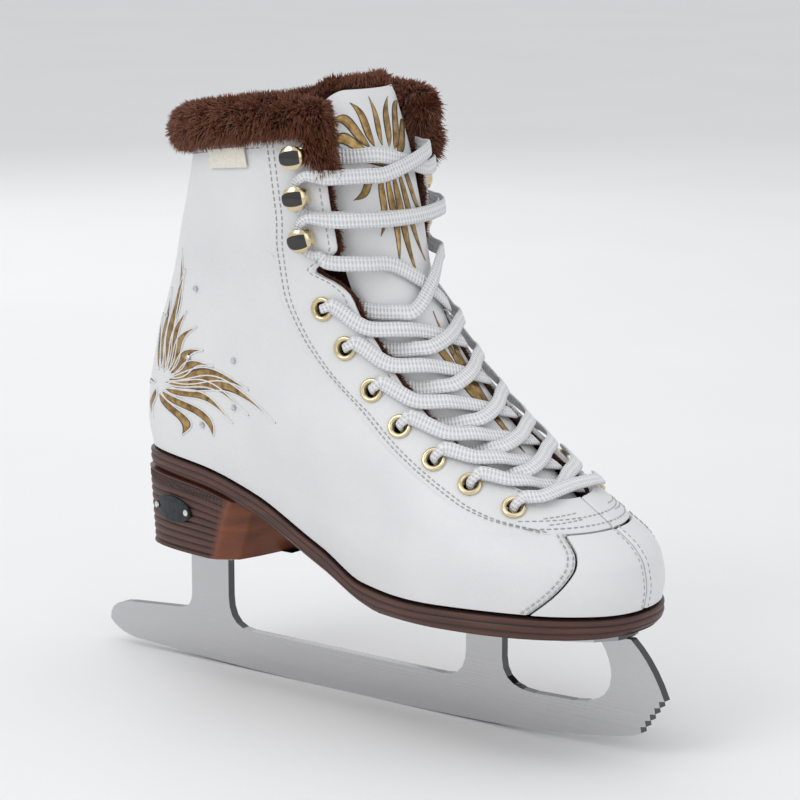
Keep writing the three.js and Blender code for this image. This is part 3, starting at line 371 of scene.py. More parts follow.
class Boot:
    """The boot's outer surface and the seam lines on it.

    A level runs from 0 at the sole to 1 at the collar. The angle turns from 0 at the toe through
    the outer side to pi at the back. Each level is a superellipse: its reach and power differ
    before and behind the widest place, and its half width is a blend of heel, waist and ball
    widths along x.
    """

    SLIT = 0.006
    FOOT = 0.006
    TOE_TOP = 0.168
    SEAM_FIT = 0.01
    PANEL_END = 0.172
    THROAT_END = 0.224
    TONGUE_FOOT, TONGUE_TOP = 0.205, 1.083
    HEIGHT, BACK_DROP = 241, 14

    def __init__(self) -> None:
        """Sets the boot's curves: outlines, widths and powers by level, and seams as angles."""
        self.feather = through([(-100, 96.5), (-60, 93.5), (-26, 86), (10, 69.5), (35, 59.5),
                                (60, 58.2),
                                (100, 58.8), (130, 58.4), (146, 57.5)])
        self.front = through([(0, 142.5), (0.05, 144), (0.1, 142.5), (0.135, 138), (0.165, 130),
                              (0.2, 120),
                              (0.228, 112), (0.28, 98), (0.35, 83), (0.45, 64.5), (0.55, 50.5),
                              (0.65, 41.5),
                              (0.75, 35.5), (0.85, 31.5), (1, 27.5), (1.1, 25)])
        self.back = through([(0, -99), (0.1, -102.5), (0.2, -103), (0.35, -100), (0.5, -93.5),
                             (0.7, -84.5),
                             (0.85, -77.5), (1, -71.5), (1.1, -70)])
        self.widest = through([(0, 72), (0.12, 66), (0.228, 45), (0.4, 5), (0.6, -12), (1, -22)])
        self.front_power = through([(0, 2.3), (0.15, 2.2), (1.1, 2.2)])
        self.back_power = through([(0, 4.2), (0.15, 3.4), (0.3, 2.8), (0.6, 2.4), (1, 2.2)])
        self.heel_width = through([(0, 31), (0.15, 34), (0.35, 33), (0.55, 32.5), (0.75, 38),
                                   (1, 42)])
        self.waist_width = through([(0, 33), (0.1, 36), (0.25, 38), (0.4, 35.5), (0.6, 34),
                                    (0.8, 40), (1, 42.5)])
        self.ball_width = through([(0, 45.5), (0.08, 47), (0.16, 44.5), (0.24, 41), (0.4, 37),
                                   (0.6, 34),
                                   (0.8, 40), (1, 42.5)])
        self.toe_seam = through([(0, 0.955), (0.05, 0.79), (0.1, 0.645), (0.133, 0.575),
                                 (0.168, 0.52)])
        self.throat = through([(0.224, 0.006), (0.226, 0.22), (0.233, 0.36), (0.25, 0.506),
                               (0.29, 0.62),
                               (0.349, 0.695), (0.45, 0.789), (0.527, 0.83), (0.59, 0.9),
                               (0.624, 0.924),
                               (0.645, 1.0), (0.667, 1.167), (0.695, 1.05), (0.73, 0.91),
                               (0.8, 0.885), (1, 0.87)])
        self.panel = through([(0.172, 0.668), (0.198, 0.964), (0.226, 1.068), (0.321, 1.167),
                              (0.383, 1.2),
                              (0.454, 1.378), (0.508, 1.455), (0.603, 1.517), (0.703, 1.472),
                              (0.802, 1.387),
                              (1, 1.36)])
        self.tongue_reach = through([(0.2, 0.2), (0.235, 0.36), (0.3, 0.66), (0.4, 0.82),
                                     (0.55, 0.92),
                                     (0.66, 0.96), (0.8, 0.95), (0.95, 0.93), (1.1, 0.92)])
        self.tongue_sink = through([(0.2, 6.2), (0.26, 4.6), (0.75, 4.5), (0.9, 6.5), (1, 9.5),
                                    (1.1, 13)])

    def width_at(self, x: Array, h: Array) -> Array:
        """Half width at x and level h before the superellipse narrows it.

        Args:
            x: forward, in millimetres.
            h: the level.

        Returns:
            The half width.
        """
        a, b = smooth(-60, -5, x), smooth(5, 75, x)
        heel, waist, ball = self.heel_width(h), self.waist_width(h), self.ball_width(h)
        return heel * (1 - a) + waist * a * (1 - b) + ball * a * b

    @staticmethod
    def middle(x: Array) -> Array:
        """The centre line's shift towards the inner side at the toe."""
        return 4 * smooth(30, 146, x)

    def half_width(self, x: Array, h: float) -> Array:
        """Half the boot's width at x and level h.

        Args:
            x: forward, in millimetres.
            h: the level.

        Returns:
            The half width.
        """
        x = np.asarray(x, float)
        ahead = x > self.widest(h)
        power = np.where(ahead, self.front_power(h), self.back_power(h))
        reach = np.where(ahead, self.front(h) - self.widest(h), self.widest(h) - self.back(h))
        u = np.clip(np.abs(x - self.widest(h)) / reach, 0, 1)
        return self.width_at(x, h) * (1 - u**power) ** (1 / power)

    def surface(self, angle: Array, h: Array) -> Array:
        """Points of the outer surface.

        Args:
            angle: round the foot, in radians.
            h: the level.

        Returns:
            The points.
        """
        angle, h = np.broadcast_arrays(np.asarray(angle, float), np.asarray(h, float))
        c, s = np.cos(angle), np.sin(angle)
        power = np.where(c > 0, self.front_power(h), self.back_power(h))
        reach = np.where(c > 0, self.front(h) - self.widest(h), self.widest(h) - self.back(h))
        r = (np.abs(c) ** power + np.abs(s) ** power) ** (-1 / power)
        x = self.widest(h) + reach * c * r
        y = self.middle(x) - self.width_at(x, h) * s * r
        top = self.HEIGHT - self.BACK_DROP * ((1 - c) / 2) ** 1.5
        return np.stack([x, y, (1 - h) * self.feather(x) + h * top], axis=-1)

    def along(self, angle: Array, h: Array) -> tuple[Array, Array]:
        """Change of the surface with the angle and with the level.

        Args:
            angle: round the foot, in radians.
            h: the level.

        Returns:
            The two directions, in millimetres a unit.
        """
        e = 0.001
        turn = (self.surface(angle + e, h) - self.surface(angle - e, h)) / (2 * e)
        rise = (self.surface(angle, h + e) - self.surface(angle, h - e)) / (2 * e)
        return turn, rise

    def span(self, angle: Array, h: Array) -> Array:
        """Millimetres along the surface for one radian."""
        return np.linalg.norm(self.along(angle, h)[0], axis=-1)

    def normal(self, angle: Array, h: Array) -> Array:
        """The outward direction."""
        turn, rise = self.along(np.asarray(angle, float), np.asarray(h, float))
        return unit(np.cross(rise, turn))

    def offset(self, angle: Array, h: Array, depth: Array) -> Array:
        """Points a distance outside the surface."""
        return self.surface(angle, h) + self.normal(angle, h) * np.asarray(depth)[..., None]

    def tongue(self, t: Array, s: Array, depth: Array, extra: float) -> Array:
        """Points of the tongue, which is crowned, widens at the top and has cut corners.

        Args:
            t: from one side edge, -1, to the other, 1.
            s: from the hinge, 0, to the top edge, 1.
            depth: millimetres behind the tongue's face.
            extra: how much further the layer reaches than the leather, 0 or 1.

        Returns:
            The points.
        """
        t, s = np.broadcast_arrays(np.asarray(t, float), np.asarray(s, float))
        corner = 0.25 * np.maximum(0, np.abs(t) - 0.45) ** 2
        h = mix(self.TONGUE_FOOT, self.TONGUE_TOP + extra * 0.018 - corner, s)
        wider = 1 + 0.15 * smooth(0.62, 0.9, s)
        angle = t * (self.tongue_reach(h) + extra * 0.13 * smooth(0.24, 0.4, h)) * wider
        crown = 3.6 * (angle / self.tongue_reach(h)) ** 2 * (1 - 0.5 * smooth(0.8, 1, h))
        return self.offset(angle, h, -(self.tongue_sink(h) + crown + depth))


EYELETS = ((1.189, 0.584), (1.104, 0.511), (1.036, 0.436), (0.987, 0.368), (0.929, 0.307),
           (0.839, 0.261),
           (0.699, 0.218))
HOOKS = ((1.099, 0.941), (1.126, 0.845), (1.158, 0.748))


@dataclass(frozen=True)
class Seat:
    """Where a fitting sits: its place, and the directions to the throat, up along it, and out."""

    at: Array
    inward: Array
    up: Array
    out: Array

    def point(self, c: float, t: float, n: float) -> Array:
        """The point c towards the throat, t up and n out of the leather."""
        return self.at + self.inward * c + self.up * t + self.out * n

    def holds(self, shape: Shape) -> Shape:
        """A shape made in the seat's own directions, put in its place."""
        turned = shape.vertices @ np.stack([self.inward, self.up, self.out])
        return Shape(turned + self.at, shape.faces, shape.uv).outward()


def seat_of(boot: Boot, spot: tuple[float, float], side: Side) -> Seat:
    """Finds the seat of a fitting.

    Args:
        boot: the surface that it sits on.
        spot: its angle and level.
        side: the side of the foot.

    Returns:
        The seat.
    """
    angle, h = side.value * spot[0], spot[1]
    turn, rise = boot.along(angle, h)
    out, up = boot.normal(angle, h), unit(rise)
    inward = np.cross(up, out) * side.value
    return Seat(boot.surface(angle, h), inward if inward @ (-side.value * turn) > 0 else -inward,
                up, out)


# ---------------------------------------------------------------- the upper
class Upper:
    """Leather, linings, tongue and the fur roll."""

    EYELET_HOLE, HOOK_HOLE, PLUSH_HOLE = 3.5, 1.4, 3.9
    ROLL_START = 0.86
    ROLL_CLEAR = 1.4

    def __init__(self, boot: Boot, bench: Bench) -> None:
        """Keeps the surface and the bench."""
        self.boot, self.bench, self.layers = boot, bench, Layers()

    def _backstay_edge(self, h: Array) -> Array:
        """Half the angle that the strip over the back seam takes up at level h."""
        return (self.layers.backstay_half
                - self.layers.fit / 2) / self.boot.span(np.full_like(h, math.pi), h)

    def _holed(self, outer: Array, spots: Sequence[tuple[float, float]], side: Side, depth: float,
               radius: float) -> Array:
        """Finds the cells of a grid that its holes leave.

        Args:
            outer: the grid's points.
            spots: angle and level of each hole.
            side: the side of the foot.
            depth: millimetres from the boot's surface out to the grid, negative inside it.
            radius: of the holes.

        Returns:
            False for each cell that is cut away.
        """
        middles = (outer[:-1, :-1] + outer[1:, 1:]) / 2
        keep = np.ones(middles.shape[:2], bool)
        for angle, h in spots:
            hole = self.boot.offset(side.value * angle, h, depth)
            keep &= np.linalg.norm(middles - hole, axis=-1) > radius
        return keep

    def quarter(self, side: Side) -> Shape:
        """One side of the boot from toe seam and throat to the strip over the back seam.

        Each row starts at an angle and level on the front edge and ends at a level at the back.
        Rows climb the toe seam, cross behind the toe and follow the throat. The outer face sinks a
        little behind the stitched edge of the lacing panel, and turns over along the throat.

        Args:
            side: the side of the foot.

        Returns:
            The holed sheet.
        """
        boot, end = self.boot, self.boot.PANEL_END
        throat = boot.THROAT_END + 0.0003
        low = np.linspace(0, 1, 26)
        h = mix(boot.FOOT, boot.TOE_TOP, low)
        rows = [np.stack([boot.toe_seam(h) + boot.SEAM_FIT, h, mix(boot.FOOT, 0.14, low)], axis=1)]
        turn = np.array([[boot.toe_seam(boot.TOE_TOP) + boot.SEAM_FIT, end, 0.155],
                         [0.3, end, 0.17],
                         [boot.SLIT, end, 0.185], [boot.SLIT, throat, throat]])
        rows += [mix(a, b, np.linspace(0, 1, 8)[1:, None]) for a, b in zip(turn[:-1], turn[1:])]
        climb = np.linspace(0, 1, 160)[1:]
        h = mix(throat, 1, climb**2.2)
        rows.append(np.stack([boot.throat(h), h, mix(throat, 1, climb)], axis=1))
        row = np.vstack(rows)
        t = np.linspace(0, 1, 132)[None] ** 1.15
        level = mix(row[:, 1:2], row[:, 2:3], t)
        angle = mix(row[:, :1], math.pi - self._backstay_edge(level), t)
        span = boot.span(angle, level)
        behind = (angle - boot.panel(level)) * span
        sunk = self.layers.step * (1 - (1 - smooth(1.2, 2.0, behind)) * smooth(end, 0.178, level))
        rolled = 0.7 * (1 - smooth(0, 1.3, (angle - row[:, :1]) * span))
        sewn = 0.16 * np.exp(-(behind / 1.6) ** 2) * smooth(0.165, 0.18, level)
        outer = boot.offset(side.value * angle, level, -(sunk + rolled + sewn))
        keep = (self._holed(outer, EYELETS, side, 0.0, self.EYELET_HOLE)
                & self._holed(outer, HOOKS, side, 0.0, self.HOOK_HOLE))
        return sheet(outer, boot.offset(side.value * angle, level, -self.layers.leather), keep)

    def toe(self, side: Side) -> Shape:
        """One half of the toe box, which rolls over along the centre seam.

        Args:
            side: the side of the foot.

        Returns:
            The sheet.
        """
        boot = self.boot
        t, s = np.meshgrid(np.linspace(0, 1, 70), np.linspace(0, 1, 46))
        h = mix(boot.FOOT, boot.TOE_TOP, s)
        seam = boot.toe_seam(h) - 0.004
        angle = mix(boot.SLIT, seam, t)
        span = boot.span(angle, h)
        rolled = (0.45 * (1 - smooth(0, 1.6, (angle - boot.SLIT) * span))
                  + 0.3 * (1 - smooth(0, 1.5, (seam - angle) * span)))
        return sheet(boot.offset(side.value * angle, h, -rolled),
                     boot.offset(side.value * angle, h, -self.layers.leather))

    def backstay(self) -> Shape:
        """The strip over the back seam, standing slightly proud.

        Returns:
            The sheet.
        """
        t, s = np.meshgrid(np.linspace(-1, 1, 26), np.linspace(0, 1, 110))
        h = mix(self.boot.FOOT, 1, s)
        angle = math.pi + t * self._backstay_edge(h)
        crown = 0.5 * (1 - smooth(0.86, 1, np.abs(t)))
        return sheet(self.boot.offset(angle, h, crown),
                     self.boot.offset(angle, h, -self.layers.leather))

    def facing_lining(self, side: Side) -> Shape:
        """The plush behind the lace holes; its edge shows along the throat.

        Args:
            side: the side of the foot.

        Returns:
            The holed sheet.
        """
        boot, layers = self.boot, self.layers
        t, s = np.meshgrid(np.linspace(0, 1, 30), np.linspace(0, 1, 110))
        h = mix(0.192, 0.985, s)
        shows = smooth(0.235, 0.27, h)
        edge = boot.throat(np.maximum(h + 0.005 * (1 - shows), boot.THROAT_END))
        shown = edge - layers.reveal * shows / boot.span(edge, h)
        front = np.where(h < boot.THROAT_END, boot.SLIT, shown)
        angle = side.value * mix(front, boot.panel(h) - 0.015, t)
        depth = layers.leather + layers.facing_gap
        outer = boot.offset(angle, h, -depth)
        return sheet(outer, boot.offset(angle, h, -depth - layers.facing_lining),
                     self._holed(outer, EYELETS, side, -depth, self.PLUSH_HOLE))

    def lining(self) -> Shape:
        """The plush that wraps the foot and closes over the toes.

        Returns:
            The sheet.
        """
        boot, layers = self.boot, self.layers
        level = np.array([0.012, 0.05, 0.1, 0.145, 0.168, 0.174, 0.192, *np.linspace(0.2, 1, 40)])
        behind_panel = np.where(level < 0.18, 0.78, boot.panel(level) + 0.015)
        start = np.where(level < 0.17, boot.SLIT, behind_panel)
        t, h = np.meshgrid(np.linspace(0, 1, 110), level)
        angle = mix(start[:, None], 2 * math.pi - start[:, None], t)
        depth = layers.leather + layers.padding_gap
        return sheet(boot.offset(angle, h, -depth), boot.offset(angle, h, -depth - layers.lining))

    def tongue(self, top: float, thickness: float, extra: float, puff: float) -> Shape:
        """A layer of the tongue, rounded over at its rim.

        Args:
            top: depth of its outer face, in millimetres.
            thickness: of the layer.
            extra: how much further than the leather it reaches, 0 or 1.
            puff: how far each face draws in at the rim.

        Returns:
            The layer.
        """
        t, s = np.meshgrid(np.linspace(-1, 1, 60), np.linspace(0, 1, 120))
        rim = np.maximum(smooth(0.9, 1, np.abs(t)), smooth(0.975, 1, s))
        return sheet(self.boot.tongue(t, s, top + puff * rim, extra),
                     self.boot.tongue(t, s, top + thickness - puff * rim, extra))

    def collar_rings(self, t: Array) -> Array:
        """Cross-sections of the fur roll: an inverted U over the top edges of leather and lining.

        Args:
            t: places from one end of the roll to the other, 0 to 1.

        Returns:
            Rings of points.
        """
        boot, clear, layers = self.boot, self.ROLL_CLEAR, self.layers
        inner = -(layers.leather + layers.padding_gap + layers.lining + clear)
        profile = np.array([(clear, 0.7), (5, 0.8), (7, 4.5), (6, 10), (2.0, 13.6), (-4.5, 14.2),
                            (-10, 10.5),
                            (inner - 5, 2), (inner - 4, -11), (inner, -11), (inner, 0.65),
                            (clear, 0.65)])
        angle = mix(self.ROLL_START, 2 * math.pi - self.ROLL_START, t)
        at = boot.surface(angle, np.ones_like(angle))
        out = unit(boot.normal(angle, np.ones_like(angle)) * (1, 1, 0))
        end = np.minimum(1, np.minimum(t, 1 - t) * 9)[:, None]
        n, z = profile[None, :, 0], profile[None, :, 1]
        held = np.clip(n, inner, clear)
        taper = mix(np.where(n < inner, 0.3, 0.7), 1, end)
        n = held + (n - held) * taper
        z = np.where(z > 1, z * mix(0.7, 1, end), z)
        points = at[:, None] + out[:, None] * n[..., None]
        points[..., 2] = at[:, None, 2] + z
        return points

    def build(self) -> None:
        """Makes the upper's pieces."""
        make = self.bench.make
        for side in Side:
            name = side.name.lower()
            for piece, shape in ((f"quarter_{name}", self.quarter(side)),
                                 (f"toe_{name}", self.toe(side))):
                make(piece, shape, "leather", "white_leather", replaces=[piece])
            make(f"facing_plush_{name}", self.facing_lining(side), "plush", "brown_plush",
                 replaces=[f"facing_lining_{name}"])
        make("backstay", self.backstay(), "leather", "white_leather", replaces=["backstay"])
        make("lining", self.lining(), "plush", "brown_plush", replaces=["lining"])
        make("tongue_leather", self.tongue(0, 1.6, 0, 0.5), "leather", "white_leather", Body.TONGUE,
             ["tongue_leather"])
        pad = make("tongue_pad", self.tongue(2.5, 5, 1, 1.9), "plush", "brown_plush", Body.TONGUE,
                   ["tongue_lining"])
        rings = self.collar_rings(np.linspace(0, 1, 130))
        roll = make("collar_roll", tube(rings), "plush", "brown_plush", replaces=["collar_fur"])


# ---------------------------------------------------------------- fur
@dataclass(frozen=True)
class Pile:
    """A kind of fur: tuft length and thickness in millimetres, and how untidy and limp it is."""

    length: float
    thickness: float
    spread: float
    limp: float


def tufts(roots: Array, lie: Array, pile: Pile, rng: np.random.Generator) -> Shape:
    """Tapered three-sided tufts that grow from their roots and droop.

    Each tuft is four rings of three points: a closed root, two rings that thin out, and a tip that
    is carried on along the lie and pulled down by its own weight.

    Args:
        roots: where the tufts grow.
        lie: which way each lies, as unit vectors.
        pile: the kind of fur.
        rng: the seeded generator that makes them differ.

    Returns:
        All the tufts as one mesh; U is a tuft's own shade, and V the share of the way to its tip.
    """
    count = len(roots)
    lock = np.sin(roots @ rng.normal(0, 0.55, (3, 3)) + rng.uniform(0, 6, 3))
    lie = unit(lie + pile.spread * (rng.normal(0, 0.7, (count, 3)) + 0.8 * lock))
    length = pile.length * rng.uniform(0.65, 1.2, count)[:, None]
    cross = unit(np.cross(lie, rng.normal(0, 1, (count, 3))))
    other = np.cross(lie, cross)
    share = np.array([0, 0.12, 0.58, 1.0])
    girth = np.array([0.0, 1.0, 0.72, 0.0]) * pile.thickness / 2
    path = roots[:, None] + lie[:, None] * length[:, None] * share[None, :, None]
    path[..., 2] -= pile.limp * length * share[None] ** 2
    points = path[:, :, None] + ring_of(cross, other, 3)[:, None] * girth[None, :, None, None]
    shade = rng.uniform(0, 1, count)[:, None, None]
    uv = np.stack([np.broadcast_to(u, (count, 4, 3)) for u in (shade, share[None, :, None])],
                  axis=-1)
    return Shape(points.reshape(-1, 3), between_rings(count, 4, 3), uv.reshape(-1, 2)).outward()


class Fur:
    """The tufts on the collar, round the tongue's top and along the throat."""

    SEED = 11
    COAT, ENDS = Pile(4.6, 0.6, 0.55, 0.2), Pile(5.0, 0.62, 0.5, 0.2)
    THROAT, TONGUE = Pile(2.6, 0.45, 0.4, 0.1), Pile(5.2, 0.7, 0.34, 0.2)
    BANDS = (("outer", 0.0, 3.6, 10800, 0.3), ("top", 3.2, 6.2, 9000, 0.0),
             ("inner", 5.8, 8.9, 5200, 0.0))
    ON_END, ON_CAP, ON_THROAT, ON_TONGUE = 4200, 1300, 2600, 5200
    DOWN = np.array([0, 0, -1.0])

    def __init__(self, upper: Upper) -> None:
        """Starts the one generator that every tuft is drawn from, in a fixed order."""
        self.upper, self.bench, self.boot = upper, upper.bench, upper.boot
        self.rng = np.random.default_rng(self.SEED)

    def _grow(self, name: str, root: Array, lie: Array, pile: Pile, body: Body = Body.BOOT) -> None:
        """Makes one piece of fur."""
        shape = tufts(root, lie, pile, self.rng)
        self.bench.make(name, shape, "fur", "brown_plush", body, sharp=180)

    def _on_collar(self, count: int, low: float, high: float) -> tuple[Array, Array]:
        """Scatters tufts on the roll.

        Args:
            count: how many.
            low: the first place round the roll's section, as a number of its corners.
            high: the last place.

        Returns:
            Roots and outward directions.
        """
        t = self.rng.uniform(0, 1, count)
        q = self.rng.uniform(low, high, count)
        grid = self.upper.collar_rings(t)
        after, before = (self.upper.collar_rings(np.clip(t + e, 0, 1)) for e in (0.002, -0.002))
        ahead = after - before
        i = q.astype(int)
        row, part = np.arange(count), (q - i)[:, None]
        a, b = grid[row, i], grid[row, i + 1]
        out = unit(np.cross(b - a, mix(ahead[row, i], ahead[row, i + 1], part)))
        centre = grid[:, [2, 6]].mean(axis=1)
        root = mix(a, b, part)
        out *= np.sign(np.einsum("ij,ij->i", out, root - centre))[:, None]
        return root, out

    def _on_cap(self, end: float) -> tuple[Array, Array]:
        """Roots and outward directions on the roll's end face at 0 or 1.

        Args:
            end: which end of the roll, 0 or 1.

        Returns:
            The roots and directions.
        """
        face, behind = self.upper.collar_rings(np.array([end, abs(end - 0.02)]))
        q = self.rng.uniform(0, 8.9, self.ON_CAP)
        i = q.astype(int)
        rim = mix(face[i], face[i + 1], (q - i)[:, None])
        share = np.sqrt(self.rng.uniform(0, 1, self.ON_CAP))[:, None]
        root = mix(face[1:8].mean(axis=0), rim, share)
        return root, np.broadcast_to(unit((face - behind).mean(axis=0)), root.shape)

    def _collar_end(self, side: Side) -> None:
        """Covers one end of the roll and the corner of the leather under it.

        Args:
            side: the side of the foot.
        """
        boot, count = self.boot, self.ON_END
        h = 0.905 + 0.12 * self.rng.uniform(0, 1, count) ** 0.8
        narrow = smooth(0.9, 0.95, h)
        angle = side.value * mix(0.80, mix(0.92, 1.0, narrow), self.rng.uniform(-0.1, 1, count))
        height = self.rng.uniform(-6.0, 4.5, count) * mix(0.6, 1, narrow)
        toward = -side.value * unit(boot.along(angle, h)[0])
        rise = np.clip((height + 1) / 3, -1, 1)[:, None]
        lie = unit(boot.normal(angle, h) * rise + 0.45 * toward + 0.5 * self.DOWN)
        cap_root, cap_lie = self._on_cap(0.0 if side is Side.LATERAL else 1.0)
        self._grow(f"collar_end_fur_{side.name.lower()}",
                   np.vstack([boot.offset(angle, h, height), cap_root]), np.vstack([lie, cap_lie]),
                   self.ENDS)

    def _throat(self, side: Side) -> None:
        """Lines one edge of the throat with short plush that leans into the opening.

        Args:
            side: the side of the foot.
        """
        boot, count = self.boot, self.ON_THROAT
        h = mix(0.25, 0.965, self.rng.uniform(0, 1, count))
        edge = boot.throat(h)
        back = self.rng.uniform(-1.5, 1.2, count) / boot.span(edge, h)
        root = boot.offset(side.value * (edge + back), h, self.rng.uniform(-4.2, -3.0, count))
        toward = -unit(boot.along(side.value * edge, h)[0]) * side.value
        lie = unit(toward + 0.7 * boot.normal(side.value * edge, h))
        self._grow(f"throat_plush_{side.name.lower()}", root, lie, self.THROAT)

    def _tongue_rim(self) -> None:
        """Fringes the tongue's top and its upper side edges, leaning out and a little forward."""
        boot, count = self.boot, self.ON_TONGUE
        t = self.rng.uniform(-1, 1, count)
        s = 1 - self.rng.uniform(0, 0.028, count)
        side = self.rng.uniform(0, 1, count) < 0.35
        t = np.where(side, np.sign(t) * self.rng.uniform(0.94, 1, count), t)
        s = np.where(side, self.rng.uniform(0.62, 1, count), s)
        root = boot.tongue(t, s, self.rng.uniform(2.6, 7.2, count), 1)
        rim, inside = (boot.tongue(t * (1 + e), s + e, 5.0, 1) for e in (0.02, -0.02))
        self._grow("tongue_fur", root, unit(unit(rim - inside) + np.array([0.35, 0, 0.1])),
                   self.TONGUE,
                   Body.TONGUE)

    def build(self) -> None:
        """Makes the fur."""
        for name, low, high, count, droop in self.BANDS:
            root, out = self._on_collar(count, low, high)
            self._grow(f"collar_fur_{name}", root, unit(out + droop * self.DOWN), self.COAT)
        for side in Side:
            self._collar_end(side)
            self._throat(side)
        self._tongue_rim()


# ---------------------------------------------------------------- sole and heel
class Base:
    """The layered outsole and the stacked heel."""

    THICKNESS = 8.5
    MARGIN = 1.0
    FLAT = 49.8
    HEEL_BOTTOM = 54.6
    TUCK = 0.3

    def __init__(self, boot: Boot, bench: Bench) -> None:
        """Sets the underside's height along x and the angles of an outline's points.

        Args:
            boot: the surface that the sole follows.
            bench: makes the pieces.
        """
        self.boot, self.bench = boot, bench
        down = self.THICKNESS
        self.bottom = through([(-100, 96.5 - down), (-60, 93.5 - down), (-26, 86 - down),
                               (10, 69.5 - down),
                               (32, 60.6 - down), (46, self.FLAT), (136, self.FLAT),
                               (150, self.FLAT + 0.5)])
        t = np.linspace(0, math.pi, 121)
        self.angles = np.concatenate([t, 2 * math.pi - t[1:-1][::-1]])

    def _ring(self, inset: float, share: float, width: float = 1.0) -> Array:
        """Works out an outline of the sole.

        Args:
            inset: millimetres inside the upper's lowest outline.
            share: of the way from the feather line down to the underside.
            width: what the outline's width is multiplied by.

        Returns:
            The outline's points.
        """
        base = self.boot.surface(self.angles, 0 * self.angles)
        out = unit(self.boot.normal(self.angles, 0 * self.angles) * (1, 1, 0))
        p = base - out * inset
        middle = self.boot.middle(p[:, 0])
        p[:, 1] = middle + (p[:, 1] - middle) * width
        p[:, 2] = mix(self.boot.feather(p[:, 0]) - self.TUCK, self.bottom(p[:, 0]), share)
        return p

    def outsole(self) -> Shape:
        """Three ridges run round the edge: a rounded bead, a groove and a bead, again and again.

        Returns:
            The sole, with the height of its relief in U.
        """
        rings, shade = [self._ring(-0.2, 0, w) for w in (0.0, 0.5, 0.9)], [0.4] * 3
        for share in np.linspace(0, 1, 34):
            relief = abs(math.sin(math.pi * (0.03 + 2.97 * share))) ** 0.6
            tuck = 1.7 * smooth(0.62, 1, share) + 0.8 * (1 - smooth(0, 0.06, share))
            rings.append(self._ring(float(-self.MARGIN + 0.6 * (1 - relief) + tuck), share))
            shade.append(relief)
        rings += [self._ring(0.8, 1, w) for w in (0.9, 0.5, 0.0)]
        shape = tube(np.stack(rings), drawn=False)
        shade = np.repeat(shade + [0.5] * 3, len(self.angles))
        # U carries the relief that the sole finish turns into painted groove shade and ridge light
        shape.uv = np.column_stack([shade, np.zeros(len(shade))])
        return shape

    def heel_plan(self, k: float) -> tuple[Array, Array]:
        """The heel's outline at a share of its height: breast, outer side, back and inner side.

        The outer front corner is cut off by a bevel, the breast sweeps forward on the inner side,
        and the rounded faces carry a knurled band at the top and level ridges below it.

        Args:
            k: share of the way down.

        Returns:
            The outline, and for each point how high its relief is and whether it is on the breast.
        """
        back = self.boot.back(0.0) - self.MARGIN + 2 * k
        lateral, bevel = float(mix(-40, -51, k**0.8)), float(mix(-34, -43, k))
        medial = float(mix(-18, -33, math.sqrt(k)))
        t = np.linspace(0, 1, 90)

        def arc(start: float, sign: int) -> Array:
            """One side of the outline, from its front corner to the back.

            Args:
                start: x of its front corner.
                sign: 1 on the outer side, -1 on the inner.

            Returns:
                Its points.
            """
            x = mix(start, back, np.sin(t * math.pi / 2))
            half = self.boot.half_width(x + self.MARGIN - 2 * k, 0.0) * (1 - 0.04 * k)
            half[-1] = 0
            return np.stack([x, self.boot.middle(x) - sign * half], axis=1)

        outer, inner = arc(lateral, 1), arc(medial, -1)[:-1][::-1]
        corners = np.array([inner[-1], [mix(bevel, medial, 0.5), 4],
                            [mix(bevel, medial, 0.25), -12],
                            [bevel, -22], outer[0]])
        part = np.linspace(0, 1, 9)[1:, None]
        breast = np.vstack([mix(a, b, part) for a, b in zip(corners[:-1], corners[1:])])
        plan = np.vstack([breast[:-1], outer, inner])
        around = unit(np.roll(plan, -1, axis=0) - np.roll(plan, 1, axis=0))
        out = np.stack([around[:, 1], -around[:, 0]], axis=1)
        out *= np.sign(np.einsum("ij,ij->i", out, plan - (-60, 0)))[:, None]
        place = np.arange(len(plan)) - len(breast) + 1
        faded = smooth(0, 5, place) * smooth(0, 5, len(outer) + len(inner) - 1 - place)
        run = run_of(plan)
        band = float(smooth(0.03, 0.05, k) * (1 - smooth(0.13, 0.15, k)))
        ridge = abs(math.sin(math.pi * 8.5 * (k - 0.15) / 0.85)) ** 0.6
        level = ridge * float(smooth(0.14, 0.16, k))
        top = 1 - float(smooth(0.01, 0.04, k))
        relief = np.clip(band * (0.5 + 0.5 * np.sin(run * 2 * math.pi / 1.9)) + level + top, 0, 1)
        lip = 0.3 * float(smooth(0.95, 0.97, k))
        plan = plan + out * ((0.75 * relief + lip) * faded)[:, None]
        return plan, np.column_stack([relief, 1 - faded])

    def heel(self) -> Shape:
        """The heel block, hollowed to the sole above and flat below.

        Returns:
            The heel, with the height of its relief in U and its smooth breast in V.
        """
        rings, marks = [], []
        for k in [0, 0, *np.linspace(0, 1, 150), 1, 1]:
            plan, mark = self.heel_plan(k)
            marks.append(mark)
            z = mix(self.bottom(plan[:, 0]) - self.TUCK, self.HEEL_BOTTOM, k)
            rings.append(np.column_stack([plan, z]))
        for i, w in ((0, 0.0), (1, 0.5), (-2, 0.5), (-1, 0.0)):
            middle = self.boot.middle(rings[i][:, 0])
            rings[i][:, 1] = middle + (rings[i][:, 1] - middle) * w
        shape = tube(np.stack(rings), drawn=False)
        # U carries the relief that the sole finish turns into painted groove shade and ridge light
        shape.uv = np.vstack(marks)
        return shape

    def build(self) -> None:
        """Makes the sole and the heel."""
        self.bench.make("outsole", self.outsole(), "sole", "sole_brown", replaces=["outsole"],
                        sharp=60)
        self.bench.make("heel_block", self.heel(), "sole", "sole_brown", replaces=["heel_block"],
                        sharp=55)


